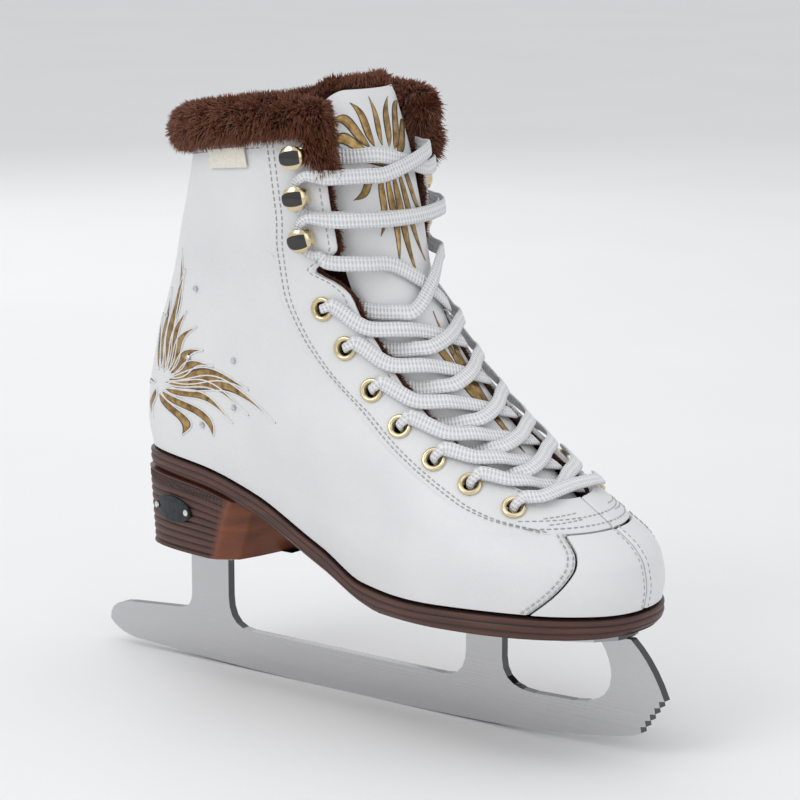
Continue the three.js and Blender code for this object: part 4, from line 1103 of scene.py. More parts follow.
# ---------------------------------------------------------------- eyelets, hooks and lace
class Hardware:
    """Pale gold eyelets and domed hooks."""

    def __init__(self, boot: Boot, bench: Bench) -> None:
        """Keeps how deep the layers are that a fitting goes through."""
        self.boot, self.bench, self.depth = boot, bench, Layers().facing

    def eyelet(self) -> Shape:
        """A rolled flange round an open barrel.

        Returns:
            The eyelet, in a seat's own directions.
        """
        low = -self.depth
        flange = [(4.9, 0.35), (4.85, 0.8), (4.55, 1.2), (4.1, 1.38), (3.6, 1.3), (3.1, 1.0),
                  (2.8, 0.5),
                  (2.7, -0.2)]
        barrel = [(2.7, low - 0.8), (3.2, low - 1.0), (4.0, low - 0.9), (3.3, low - 0.5),
                  (3.3, 0.35)]
        return lathe(flange + barrel, 40, closed=True)

    def hook(self) -> tuple[Shape, Shape]:
        """A strip bent over at the throat side, whose free end is domed, and a dark sheet on the
        dome that is a painted reflection.

        Its middle line runs along the base, round the bend and back over the top. The strip narrows
        to a rounded end, and the top bulges across its width.

        Returns:
            The strip and the dark sheet on its dome, a painted reflection, in a seat's own
            directions.
        """
        line = spline([(-3.4, 0.75), (0, 0.75), (3.4, 0.75), (4.5, 1.5), (4.6, 3.0), (3.8, 4.6),
                       (1.6, 5.6),
                       (-1.2, 5.7), (-3.6, 5.2), (-5.0, 4.3)], 7)
        share = run_of(line) / run_of(line)[-1]
        top = smooth(0.42, 0.6, share)
        u = np.clip((line[:, 0] + 0.1) / 5.0, -1, 1)
        rounded = 4.75 * np.sqrt(np.clip(1 - np.abs(u) ** 2.6, 0.02, 1))
        half = np.where(share < 0.2, 2.2 + 1.4 * smooth(0, 0.2, share), mix(3.3, rounded, top))
        v = np.linspace(-1, 1, 17)
        along = unit(np.gradient(line, axis=0))
        out = np.stack([along[:, 1], -along[:, 0]], axis=1)
        bulge = 0.9 * top * (1 - smooth(0.96, 1, share))
        layers = []
        for depth in (0.42, -0.42):
            drop = depth * (1 - 0.75 * np.abs(v[None]) ** 6) + bulge[:, None] * (1 - v[None] ** 2)
            c = line[:, 0, None] + out[:, 0, None] * drop
            n = line[:, 1, None] + out[:, 1, None] * drop
            layers.append(np.stack([c, v[None] * half[:, None], n], axis=-1))
        # painted reflection: a dark sheet laid over the top of the gold dome
        face = (top > 0.99) & (share < 0.985)
        skin = layers[0][face][:, 3:-3]
        return sheet(layers[0], layers[1]), sheet(skin + (0, 0, 0.07), skin - (0, 0, 0.3))

    def shank(self) -> Shape:
        """The rivet that holds a hook in the leather.

        Returns:
            The rivet, in a seat's own directions.
        """
        low = -self.depth
        return lathe([(0, 1.2), (1.6, 1.2), (1.6, low - 0.7), (3, low - 0.7), (3, low - 1.1),
                      (0, low - 1.1)], 20)

    def build(self) -> None:
        """Makes every eyelet and hook."""
        strip, face = self.hook()
        for side in Side:
            name = side.name.lower()
            fittings = [(f"eyelet_{name}_{i}", spot, [self.eyelet()]) for i,
                        spot in enumerate(EYELETS, 1)]
            fittings += [(f"hook_{name}_{i}", spot, [strip, self.shank()]) for i,
                         spot in enumerate(HOOKS, 1)]
            for piece, spot, shapes in fittings:
                seat = seat_of(self.boot, spot, side)
                shape = joined([seat.holds(part) for part in shapes])
                self.bench.make(piece, shape, "gold", "pale_gold", replaces=[piece])
                if spot in HOOKS:
                    # each hook gets a dark sheet on its dome, a painted reflection on the gold
                    reflection_piece = piece.replace("hook", "hook_inlay")
                    self.bench.make(reflection_piece, seat.holds(face), "hook_reflection", "pale_gold")


class Lace:
    """One flat braided lace, threaded from the lowest eyelets up to the second hooks.

    Each half runs in through an eyelet, under the facing, across the tongue and over the opposite
    edge to the next one. The strand from the outer to the inner side lies on top.
    """

    FLAT, BUNCHED, HOOKED = (6.2, 1.3), (3.7, 2.0), (3.9, 1.5)
    CROSSINGS = ((0.6, 0.7), (0.527, 0.563), (0.452, 0.49), (0.384, 0.418), (0.331, 0.355),
                 (0.2835, 0.3075),
                 (0.243, 0.263))
    HOOK_CROSSINGS = ((2, (0.795, 0.798)), (1, (0.892, 0.935)))
    OVER, PILED = 2.0, 4.3
    SPACING, COLUMNS = 0.9, 20
    BAR = ((0.46, 0.228, 2.9), (0.26, 0.236, 2.3), (0, 0.241, 1.6), (-0.26, 0.236, 2.3),
           (-0.46, 0.228, 2.9))

    def __init__(self, boot: Boot, bench: Bench) -> None:
        """Keeps how deep the facing is, and how deep the lace runs under it."""
        self.boot, self.bench, self.depth = boot, bench, Layers().facing
        self.under = -(self.depth + 1.5)

    def _on_boot(self, angle: float, h: float, n: float, size: tuple[float, float] = FLAT) -> Array:
        """A stop n outside the boot: its place, the outward direction, and the lace's size."""
        at, out = self.boot.offset(angle, h, n), self.boot.normal(angle, h)
        return np.concatenate([at, out, size])

    def _through_eyelet(self, seat: Seat) -> list[Array]:
        """Stops over an eyelet's flange, down its barrel and out behind the facing.

        Args:
            seat: the eyelet's seat.

        Returns:
            The stops.
        """
        low = -self.depth
        stops = ((5.4, 0, 2.3, self.FLAT), (3.2, 0, 2.6, self.HOOKED), (1.2, 0, 2.1, self.BUNCHED),
                 (0.1, 0, 0.6, self.BUNCHED), (0, 0, low - 0.9, self.BUNCHED),
                 (1.3, 0, low - 2.2, self.BUNCHED), (4.6, 0.3, low - 2.3, self.HOOKED))
        return [np.concatenate([seat.point(c, t, n), seat.out, size]) for c, t, n, size in stops]

    def _round_hook(self, seat: Seat, before: bool, after: bool) -> list[Array]:
        """Lays the lace round the back of a hook.

        Args:
            seat: the hook's seat.
            before: whether the strand that comes in lies on another.
            after: whether the strand that leaves does.

        Returns:
            The stops.
        """
        piled = ((0.7, 5.6, 2.9), (2, 6.8, 3.6), (3.6, 7.5, 4.4), (5.6, 8.2, 4.6))
        plain = ((0.7, 5.6, 2.7), (2, 6.8, 2.3), (3.6, 7.5, 2.0), (5.6, 8.2, 1.8))
        enter = [(c, -t, n) for c, t, n in (piled if before else plain)][::-1]
        behind = [(-0.9, -3, 2.75), (-1.2, 0, 2.75), (-0.9, 3, 2.75)]
        return [np.concatenate([seat.point(*stop), seat.out, self.HOOKED])
                for stop in [*enter, *behind, *(piled if after else plain)]]

    def _crossing(self, side: int, levels: tuple[float, float],
                  heights: tuple[float, float, float]) -> list[Array]:
        """Takes the lace from one throat edge to the other.

        Args:
            side: the sign of the side that it leaves.
            levels: where it leaves and where it arrives.
            heights: millimetres outside the boot at the start, in the middle and at the end.

        Returns:
            The stops.
        """
        (h, k), (start, middle, end) = levels, heights
        near, far = side * float(self.boot.throat(h)), -side * float(self.boot.throat(k))
        stops = ((near, h, start), (0.85 * near, h, mix(middle, start, 0.93)),
                 (0.62 * near, h, mix(middle, start, 0.35)), (0.42 * near, h, middle),
                 (0, (h + k) / 2, middle), (0.42 * far, k, middle),
                 (0.68 * far, k, mix(middle, end, 0.6)), (far, k, end))
        return [self._on_boot(*stop) for stop in stops]

    def _half(self, side: int) -> list[Array]:
        """Threads half the lace.

        Args:
            side: the sign of the side whose lowest eyelet it starts in.

        Returns:
            Its stops, up to the end tucked in at the top.
        """
        points: list[Array] = []
        for i in range(len(EYELETS) - 1, -1, -1):
            points += self._through_eyelet(seat_of(self.boot, EYELETS[i], Side(side)))
            middle = -0.6 if side > 0 else -2.5
            points += self._crossing(side, self.CROSSINGS[i], (self.under, middle, self.OVER))
            side = -side
        for i, levels in self.HOOK_CROSSINGS:
            edge, across = (self.PILED, 1.4) if side > 0 else (self.OVER, -0.6)
            seat = seat_of(self.boot, HOOKS[i], Side(side))
            points += self._round_hook(seat, side < 0 and i == 1, side > 0)
            points += self._crossing(side, levels, (edge, across, self.under if i == 1 else edge))
            side = -side
        points += [self._on_boot(side * a, h, n, self.HOOKED)
                   for a, h, n in ((0.93, 0.925, -6.9), (1.0, 0.9, -7.4), (1.02, 0.865, -7.5))]
        points.append(self._on_boot(side * 1.03, 0.84, -7.6, self.BUNCHED))
        return points

    def strap(self) -> Shape:
        """The lace as a flat rounded strap whose broad side follows the boot.

        The strap's width is square to the path and the boot's outward direction. Where the path
        runs along that direction, the width is carried on from the points before.

        Returns:
            The strap, with U round it and V along it in millimetres.
        """
        points = np.array([*self._half(1)[::-1], *[self._on_boot(*stop) for stop in self.BAR],
                           *self._half(-1)])
        path = spline(points[:, :3], 6)
        rest = read_at(np.linspace(0, len(points) - 1, len(path)), np.arange(len(points)),
                       points[:, 3:])
        along = unit(np.gradient(path, axis=0))
        flat = np.cross(unit(rest[:, :3]), along)
        firm = np.einsum("ij,ij->i", flat, flat) ** 2
        wide = np.zeros_like(path)
        held = flat[0]
        for i, tangent in enumerate(along):
            turn = flat[i] if flat[i] @ held >= 0 else -flat[i]
            hold = held - tangent * (held @ tangent)
            held = unit(hold * (1 - firm[i]) + turn * firm[i])
            wide[i] = held
        run = run_of(path)
        stops = np.arange(0, run[-1], self.SPACING)
        path, wide, deep, rest = (read_at(stops, run, rows)
                                  for rows in (path, unit(wide), np.cross(along, wide), rest))
        turn = np.linspace(0, 2 * math.pi, self.COLUMNS, endpoint=False)
        u = np.sign(np.cos(turn)) * np.abs(np.cos(turn)) ** 0.5
        v = np.sign(np.sin(turn)) * np.abs(np.sin(turn)) ** 0.75
        swell = 1 + 0.018 * np.sin(stops * 2 * math.pi / 1.9)[:, None, None]
        rings = (path[:, None] + wide[:, None] * (u[None, :, None] * rest[:, None, 3:4] / 2) * swell
                 + deep[:, None] * (v[None, :, None] * rest[:, None, 4:5] / 2))
        LOG.info("lace: %.0f mm long", run[-1])
        return tube(rings)

    def build(self) -> None:
        """Makes the lace."""
        self.bench.make("lace", self.strap(), "braid", "white_lace", replaces=["lace"], sharp=60)


# ---------------------------------------------------------------- stitches, foil and stones
Spot = Callable[[Array, Array, Array], Array]


def stitches(path: Array, out: Array, length: float = 1.9, gap: float = 0.75,
             girth: float = 0.52) -> Shape:
    """Short rounded threads laid end to end along a seam.

    Args:
        path: points of the seam.
        out: the surface's outward direction at each.
        length: of a stitch.
        gap: between stitches.
        girth: thread thickness.

    Returns:
        All the stitches as one mesh.
    """
    both = evenly(np.hstack([path, out]), length + gap)
    ahead = unit(np.gradient(both[:, :3], axis=0))
    normal = unit(both[:, 3:])
    side = np.cross(ahead, normal)
    t = np.array([-0.5, -0.47, -0.3, 0.0, 0.3, 0.47, 0.5])
    fat = np.array([0.0, 0.6, 1.0, 1.0, 1.0, 0.6, 0.0]) * girth / 2
    arch = (0.25 - t**2) * 0.9 * girth - 0.06
    centre = (both[:, None, :3] + ahead[:, None] * (t * length)[None, :, None]
              + normal[:, None] * arch[None, :, None])
    points = centre[:, :, None] + ring_of(side, normal, 6)[:, None] * fat[None, :, None, None]
    return Shape(points.reshape(-1, 3), between_rings(len(both), 7, 6),
                 np.zeros((points.size // 3, 2))).outward()


def blade_leaf(base: Sequence[float], tip: Sequence[float], width: float, bend: float, thick: float,
               place: Spot, scale: tuple[float, float]) -> tuple[Shape, Array]:
    """A pointed leaf on a curved surface, thickest along its middle.

    Args:
        base: where it starts, as the surface's two coordinates.
        tip: where it ends.
        width: half width as a share of its length.
        bend: how far its middle bows sideways, as a share of its length.
        thick: how far it stands proud, in millimetres.
        place: puts (first coordinate, second coordinate, height) on the surface.
        scale: millimetres on the surface for one unit of each coordinate.

    Returns:
        The leaf and the loop of points round its edge.
    """
    (a0, h0), (a1, h1) = base, tip
    s, v = np.meshgrid(np.linspace(0, 1, 30), np.linspace(-1, 1, 9), indexing="ij")
    half = width * np.sin(math.pi * np.clip(s, 0.0, 1) ** 0.8) ** 0.9 + 1e-4
    across = v * half + bend * (np.sin(math.pi * s) - 0.4 * np.sin(2 * math.pi * s))
    da, dh = (a1 - a0) * scale[0], (h1 - h0) * scale[1]
    angle = a0 + (da * s - dh * across) / scale[0]
    level = h0 + (dh * s + da * across) / scale[1]
    top = place(angle, level, thick * (0.45 + 0.55 * (1 - np.abs(v))))
    low = place(angle, level, np.full_like(s, -0.25))
    edges = [place(angle[::step, n], level[::step, n], np.full(30, 0.2)) for n,
             step in ((0, 1), (-1, -1))]
    return sheet(top, low), np.vstack(edges)


def looped_cord(path: Array, out: Array, radius: float) -> Shape:
    """A thin round cord along a loop of points, with the outward direction at each.

    Args:
        path: the loop's points.
        out: the outward direction at each.
        radius: of the cord.

    Returns:
        The cord.
    """
    both = np.hstack([path, out])
    both = evenly(np.vstack([both, both[:1]]), 0.7)
    ahead = unit(np.gradient(both[:, :3], axis=0) + 1e-9)
    side = unit(np.cross(ahead, both[:, 3:]))
    normal = np.cross(side, ahead)
    return tube(both[:, None, :3] + radius * ring_of(side, normal, 8))


def gem(radius: float) -> Shape:
    """A round faceted stone: a flat table, a girdle and a hidden point."""
    outline = ((0, 0.75), (0.6, 0.75), (1, 0.35), (0.92, 0), (0, -0.3))
    return lathe([(radius * across, radius * up) for across, up in outline], 8)


class Trim:
    """Seams, the foil leaves on the heel's quarters, their stones, and the tongue's flourish."""

    LEAVES = (((2.47, 0.26), (2.43, 0.665), 0.030, 0.05),
              ((2.45, 0.27), (2.34, 0.60), 0.036, -0.03),
              ((2.50, 0.27), (2.55, 0.53), 0.040, 0.04), ((2.53, 0.26), (2.66, 0.44), 0.05, 0.06),
              ((2.43, 0.27), (2.28, 0.47), 0.045, -0.04),
              ((2.42, 0.265), (2.19, 0.43), 0.045, -0.08),
              ((2.41, 0.26), (2.16, 0.365), 0.06, -0.10),
              ((2.40, 0.25), (2.13, 0.325), 0.065, -0.12),
              ((2.42, 0.24), (1.97, 0.305), 0.075, -0.10),
              ((2.43, 0.225), (1.90, 0.262), 0.07, -0.15),
              ((2.44, 0.21), (2.12, 0.185), 0.08, -0.20),
              ((2.46, 0.20), (2.21, 0.115), 0.09, -0.20),
              ((2.48, 0.19), (2.33, 0.080), 0.09, -0.18), ((2.52, 0.20), (2.52, 0.105), 0.10, 0.16),
              ((2.54, 0.22), (2.67, 0.20), 0.09, 0.16), ((2.45, 0.23), (2.03, 0.235), 0.05, -0.17))
    STONES = ((2.205, 0.545), (2.27, 0.33), (1.985, 0.368), (2.246, 0.139), (2.50, 0.44),
              (2.09, 0.235))
    SPRIG = (((0.30, 0.955), (0.66, 1.03), 0.10, 0.10), ((0.24, 0.955), (0.42, 1.055), 0.11, 0.10),
             ((0.14, 0.955), (0.16, 1.065), 0.09, 0.06), ((0.05, 0.95), (-0.14, 1.06), 0.10, -0.08),
             ((-0.02, 0.945), (-0.42, 1.045), 0.10, -0.12),
             ((0.34, 0.945), (0.74, 0.975), 0.10, 0.12),
             ((-0.05, 0.935), (-0.55, 0.985), 0.10, -0.12),
             ((0.66, 0.935), (-0.40, 0.925), 0.022, 0.05),
             ((0.30, 0.91), (0.62, 0.845), 0.08, -0.10), ((0.24, 0.90), (0.44, 0.76), 0.07, -0.08),
             ((0.16, 0.90), (0.30, 0.70), 0.06, -0.05), ((0.08, 0.90), (0.06, 0.665), 0.06, 0.03),
             ((0.00, 0.90), (-0.18, 0.70), 0.06, 0.06), ((-0.08, 0.91), (-0.40, 0.79), 0.08, 0.10),
             ((0.0, 0.32), (0.0, 0.60), 0.06, 0.02), ((0.02, 0.40), (0.34, 0.56), 0.10, 0.12),
             ((-0.02, 0.40), (-0.34, 0.56), 0.10, -0.12))

    REAR_SCALE, TONGUE_SCALE = (58, 150), (46, 150)

    def __init__(self, boot: Boot, bench: Bench) -> None:
        """Keeps the surface and the bench."""
        self.boot, self.bench = boot, bench

    def seams(self, side: Side) -> Shape:
        """Every row of stitches on one side of the upper.

        Args:
            side: the side of the foot.

        Returns:
            The rows: two along the panel's edge, two across behind the toe, one along the throat,
            three on the toe box, one on the strip over the back seam, one under the collar and two
            short ones.
        """
        boot = self.boot
        edge, throat = np.linspace(0.176, 0.985, 240), np.linspace(0.238, 0.985, 240)
        toe, back = np.linspace(0.012, boot.TOE_TOP, 60), np.linspace(0.015, 0.97, 160)
        across = mix(0.03, float(boot.panel(0.178)), np.linspace(0.0, 1, 40))
        collar = np.linspace(float(boot.panel(0.95)) + 0.02, 2.95, 90)
        panel, short = boot.panel(edge), np.linspace(0, 0.004, 14)
        lines = [(panel - shift / boot.span(panel, edge), edge, 0.05) for shift in (1.4, 4.0)]
        lines += [(across, h + 0 * across, 0.05) for h in (0.18, 0.194)]
        lines.append((boot.throat(throat) + 3.0 / boot.span(boot.throat(throat), throat), throat,
                      -0.02))
        lines += [(boot.toe_seam(toe) + boot.SEAM_FIT + shift, toe, 0.05)
                  for shift in (0.014, 0.052)]
        lines.append((0.05 + 0 * toe, toe, -0.05))
        lines.append((math.pi - 7.0 / boot.span(np.full_like(back, math.pi), back), back, 0.5))
        lines.append((collar, 0.965 + 0 * collar, -0.45))
        lines += [(np.linspace(0.551, 0.281, 14), low + short, 0.05) for low in (0.187, 0.198)]
        return joined([stitches(boot.offset(side.value * angle, h, lift),
                                boot.normal(side.value * angle, h))
                       for angle, h, lift in lines])

    def build(self) -> None:
        """Makes the trim."""
        for side in Side:
            name = side.name.lower()
            self.bench.make(f"stitches_{name}", self.seams(side), "thread", "white_leather",
                            sharp=180)

            def place(angle: Array, h: Array, lift: Array, sign: int = side.value) -> Array:
                """A spot on this side's rear quarter, a step below the lacing panel."""
                return self.boot.offset(sign * angle, h, lift - Layers.step)

            leaves, rims, shadows = [], [], []
            for base, tip, width, bend in self.LEAVES:
                leaves.append(blade_leaf(base, tip, width * 0.85, bend, 0.35, place,
                                         self.REAR_SCALE)[0])
                # painted shadow: a wider dark leaf under each foil leaf shows as a dark band round
                # it
                shadow, loop = blade_leaf(base, tip, width * 1.3, bend, 0.12, place,
                                          self.REAR_SCALE)
                shadows.append(shadow)
                rims.append(looped_cord(loop, np.broadcast_to((0.0, -side.value, 0.0), loop.shape),
                                        0.34))
            self.bench.make(f"foil_leaves_{name}", joined(leaves), "foil", "pale_gold")
            # the leaf shadows are painted shadow
            self.bench.make(f"leaf_shadows_{name}", joined(shadows), "leaf_shadow_paint", "dark_badge")
            self.bench.make(f"leaf_outlines_{name}", joined(rims), "relief", "white_leather")
            stones = [seat_of(self.boot, spot, side).holds(gem(1.3)) for spot in self.STONES]
            self.bench.make(f"stones_{name}", joined(stones), "crystal", "bright_steel", sharp=1)

        def on_tongue(angle: Array, h: Array, lift: Array) -> Array:
            """A spot on the tongue's leather at an angle and level.

            Args:
                angle: round the foot, in radians.
                h: the level.
                lift: millimetres above the leather.

            Returns:
                The points.
            """
            boot = self.boot
            s = (h - boot.TONGUE_FOOT) / (boot.TONGUE_TOP - boot.TONGUE_FOOT)
            face = boot.tongue(angle / boot.tongue_reach(h), s, 0.0, 0)
            return face + boot.normal(angle, h) * lift[..., None]

        fills, edges = [], []
        for base, tip, width, bend in self.SPRIG:
            fills.append(blade_leaf(base, tip, width * 0.9, bend, 0.42, on_tongue,
                                    self.TONGUE_SCALE)[0])
            edges.append(blade_leaf(base, tip, width * 1.2, bend, 0.28, on_tongue,
                                    self.TONGUE_SCALE)[0])
        self.bench.make("tongue_sprig", joined(fills), "foil", "pale_gold", Body.TONGUE)
        self.bench.make("tongue_sprig_edge", joined(edges), "ink", "dark_badge", Body.TONGUE)


# ---------------------------------------------------------------- finishes
class Field:
    """A shader value that adds, subtracts, multiplies and takes a power as a number does."""

    def __init__(self, graph: Graph, socket: bpy.types.NodeSocket) -> None:
        """Wraps an output socket."""
        self.graph, self.socket = graph, socket

    def _math(self, operation: str, *values: Field | float) -> Field:
        """A Math node on the values."""
        return self.graph.out("ShaderNodeMath", {"operation": operation}, dict(enumerate(values)),
                              "Value")

    def __add__(self, other: Field | float) -> Field:
        """The sum."""
        return self._math("ADD", self, other)

    def __sub__(self, other: Field | float) -> Field:
        """This less the other."""
        return self._math("SUBTRACT", self, other)

    def __rsub__(self, other: float) -> Field:
        """The other less this."""
        return self._math("SUBTRACT", other, self)

    def __mul__(self, other: Field | float) -> Field:
        """The product."""
        return self._math("MULTIPLY", self, other)

    def __pow__(self, other: float) -> Field:
        """This to a power."""
        return self._math("POWER", self, other)

    __radd__, __rmul__ = __add__, __mul__

    def sine(self) -> Field:
        """The value's sine."""
        return self._math("SINE", self)

    def size(self) -> Field:
        """The value without its sign."""
        return self._math("ABSOLUTE", self)

    def between(self, low: float, high: float) -> Field:
        """0 below low, 1 above high, and a straight line between."""
        return self.graph.out("ShaderNodeMapRange", {"clamp": True},
                              {"Value": self, "From Min": low, "From Max": high}, "Result")


Colour = tuple[float, float, float, float]


class Graph:
    """A material's node tree, built one node at a time."""

    def __init__(self, name: str) -> None:
        """Starts an empty tree.

        Args:
            name: the material's name.
        """
        self.material = bpy.data.materials.new(name)
        self.material.use_nodes = True
        self.tree = self.material.node_tree
        self.tree.nodes.clear()

    def node(self, kind: str, settings: dict | None = None,
             inputs: dict | None = None) -> bpy.types.Node:
        """Adds a node.

        Args:
            kind: the node's type.
            settings: its properties.
            inputs: sockets to values, or to fields that are linked in.

        Returns:
            The node.
        """
        made = self.tree.nodes.new(kind)
        for key, value in (settings or {}).items():
            setattr(made, key, value)
        for key, value in (inputs or {}).items():
            if isinstance(value, Field):
                self.tree.links.new(value.socket, made.inputs[key])
            else:
                made.inputs[key].default_value = value
        return made

    def out(self, kind: str, settings: dict, inputs: dict, socket: str | int) -> Field:
        """Adds a node and returns one of its outputs as a field."""
        return Field(self, self.node(kind, settings, inputs).outputs[socket])

    def place(self) -> Field:
        """Object coordinates, in metres of the common frame."""
        return self.out("ShaderNodeTexCoord", {}, {}, "Object")

    def uv(self) -> tuple[Field, Field]:
        """The two UV coordinates.

        Returns:
            U and V.
        """
        uv = self.out("ShaderNodeTexCoord", {}, {}, "UV")
        parts = self.node("ShaderNodeSeparateXYZ", {}, {"Vector": uv})
        return Field(self, parts.outputs["X"]), Field(self, parts.outputs["Y"])

    def noise(self, scale: float, detail: float = 3.0,
              stretch: Sequence[float] = (1, 1, 1)) -> Field:
        """Soft noise, `scale` features a metre.

        Args:
            scale: features a metre.
            detail: how many finer octaves it has.
            stretch: what each coordinate is multiplied by first.

        Returns:
            The noise, 0 to 1.
        """
        at = self.out("ShaderNodeMapping", {}, {"Vector": self.place(), "Scale": tuple(stretch)},
                      "Vector")
        return self.out("ShaderNodeTexNoise", {}, {"Vector": at, "Scale": scale, "Detail": detail},
                        "Fac")

    def cells(self, scale: float) -> Field:
        """Distance to the nearest cell edge of a pebbled pattern."""
        return self.out("ShaderNodeTexVoronoi", {"feature": "DISTANCE_TO_EDGE"},
                        {"Vector": self.place(), "Scale": scale}, "Distance")

    def blend(self, share: Field, low: Colour | Field, high: Colour | Field) -> Field:
        """A colour between two, by share."""
        return self.out("ShaderNodeMix", {"data_type": "RGBA"}, {0: share, 6: low, 7: high}, 2)

    def bump(self, height: Field, strength: float, distance: float) -> Field:
        """A normal from a height."""
        return self.out("ShaderNodeBump", {},
                        {"Height": height, "Strength": strength, "Distance": distance}, "Normal")

    def done(self, inputs: dict) -> bpy.types.Material:
        """Ends the tree in a Principled shader.

        Args:
            inputs: the shader's sockets to values or fields.

        Returns:
            The material.
        """
        shader = self.out("ShaderNodeBsdfPrincipled", {}, inputs, "BSDF")
        self.node("ShaderNodeOutputMaterial", {}, {"Surface": shader})
        return self.material


@dataclass(frozen=True)
class Leather:
    """Smooth coated leather with a fine pebble grain and faint creases."""

    name: str
    low: Colour
    high: Colour
    rough: float = 0.42

    def build(self) -> bpy.types.Material:
        """Makes the material.

        Returns:
            The material.
        """
        g = Graph(self.name)
        tone = g.noise(26, 4).between(0.3, 0.7)
        grain = g.cells(1500).between(0.0, 0.28)
        crease = g.noise(120, 5, (1, 1, 0.45))
        height = grain * 0.35 + crease * 1.2
        return g.done({"Base Color": g.blend(tone, self.low, self.high),
                       "Roughness": self.rough - 0.08 * crease,
                       "Normal": g.bump(height, 0.22, 0.0006), "Coat Weight": 0.12,
                       "Coat Roughness": 0.3})


@dataclass(frozen=True)
class Plush:
    """Deep brown pile; on tufts the tips are lighter and redder than the roots."""

    name: str
    root: Colour
    tip: Colour
    by_tuft: bool

    def build(self) -> bpy.types.Material:
        """Makes the material.

        Returns:
            The material.
        """
        g = Graph(self.name)
        if self.by_tuft:
            shade, along = g.uv()
            share = along * 0.55 + shade * 0.45
            return g.done({"Base Color": g.blend(share, self.root, self.tip), "Roughness": 0.6})
        pile = g.noise(1400, 3)
        return g.done({"Base Color": g.blend(pile, self.root, self.tip), "Roughness": 0.95,
                       "Normal": g.bump(pile, 0.9, 0.0012)})


@dataclass(frozen=True)
class Stacked:
    """Brown sole and heel: painted shade darkens the grooves and painted orange highlights light
    the ridges, with fine scuffs.
    """

    name: str
    dark: Colour
    light: Colour
    smooth: Colour

    def build(self) -> bpy.types.Material:
        """Makes the material. U is the height of the relief, which sets the painted shade in the
        grooves and the painted light on the ridges, and V is 1 on the smooth breast.

        Returns:
            The material.
        """
        g = Graph(self.name)
        relief, breast = g.uv()
        streak = g.noise(90, 5, (0.5, 0.5, 3)).between(0.35, 0.7)
        scuff = g.noise(900, 3)
        # painted shade and light: low relief takes the dark colour, ridge tops the light one
        painted_relief_light = relief ** 1.5 * (0.55 + 0.45 * streak)
        ridged = g.blend(painted_relief_light, self.dark, self.light)
        wiped = g.blend(streak, self.smooth, tuple(0.6 * v for v in self.smooth[:3]) + (1.0,))
        return g.done({"Base Color": g.blend(breast, ridged, wiped),
                       "Roughness": 0.42 + 0.22 * scuff,
                       "Normal": g.bump(streak * 0.4 + scuff * 0.6, 0.3, 0.0004),
                       "Coat Weight": 0.15,
                       "Coat Roughness": 0.3})


@dataclass(frozen=True)
class Metal:
    """Plated or ground metal with fine lines along x."""

    name: str
    colour: Colour
    deep: Colour
    rough: float
    lines: float = 0.0
    # edge: the painted shade colour for a blade's edges
    edge: Colour | None = None

    def build(self) -> bpy.types.Material:
        """Makes the material. A ground blade's edges, which face along it, get painted shade: a
        darker colour with less roughness, chosen by the normal's direction.

        Returns:
            The material.
        """
        g = Graph(self.name)
        brushed = g.noise(300, 4, (0.06, 1, 9)) if self.lines else g.noise(500, 3)
        cloud = g.noise(9, 2)
        colour, rough = g.blend(cloud, self.deep, self.colour), self.rough + 0.12 * brushed
        # painted shade: faces whose normal has little sideways (Y) part take the dark edge colour
        if self.edge:
            normal = g.out("ShaderNodeNewGeometry", {}, {}, "Normal")
            facing = g.node("ShaderNodeSeparateXYZ", {}, {"Vector": normal})
            face = Field(g, facing.outputs["Y"]).size().between(0.4, 0.8)
            colour, rough = g.blend(face, self.edge, colour), rough * (0.35 + 0.65 * face)
        return g.done({"Base Color": colour, "Metallic": 1.0, "Roughness": rough,
                       "Normal": g.bump(brushed, 0.1 + self.lines, 0.0002)})


@dataclass(frozen=True)
class Braid:
    """A flat white braid: slanting yarns that cross over a middle line, with painted shade in the
    gaps between them.
    """

    name: str
    colour: Colour
    gap: Colour

    def build(self) -> bpy.types.Material:
        """Makes the material.

        Returns:
            The material.
        """
        g = Graph(self.name)
        u, v = g.uv()
        slant = ((u * 4.0 * math.pi).sine() * 1.3 + v * (2 * math.pi / 1.5)).sine()
        rows = (u * (2 * math.pi * 14)).sine()
        yarn = slant * 0.6 + rows * 0.4
        # painted shade: the low parts of the weave take the darker gap colour
        share = yarn.between(-0.9, 0.3)
        return g.done({"Base Color": g.blend(share, self.gap, self.colour), "Roughness": 0.9,
                       "Sheen Weight": 0.3, "Normal": g.bump(yarn, 0.7, 0.0005)})


@dataclass(frozen=True)
class Coat:
    """Paint, thread, foil, stone or card: one material with a mottled colour and a chosen gloss."""

    name: str
    low: Colour
    high: Colour
    rough: float
    metal: float = 0.0
    scale: float = 400.0
    relief: float = 0.1

    def build(self) -> bpy.types.Material:
        """Makes the material.

        Returns:
            The material.
        """
        g = Graph(self.name)
        mottle = g.noise(self.scale, 4)
        return g.done({"Base Color": g.blend(mottle.between(0.3, 0.7), self.low, self.high),
                       "Metallic": self.metal, "Roughness": self.rough + 0.1 * mottle,
                       "Normal": g.bump(mottle, self.relief, 0.0004)})


def grey(value: float, warm: float = 0.0) -> Colour:
    """A grey, warmed a little."""
    return (value * (1 + warm), value, value * (1 - warm), 1.0)


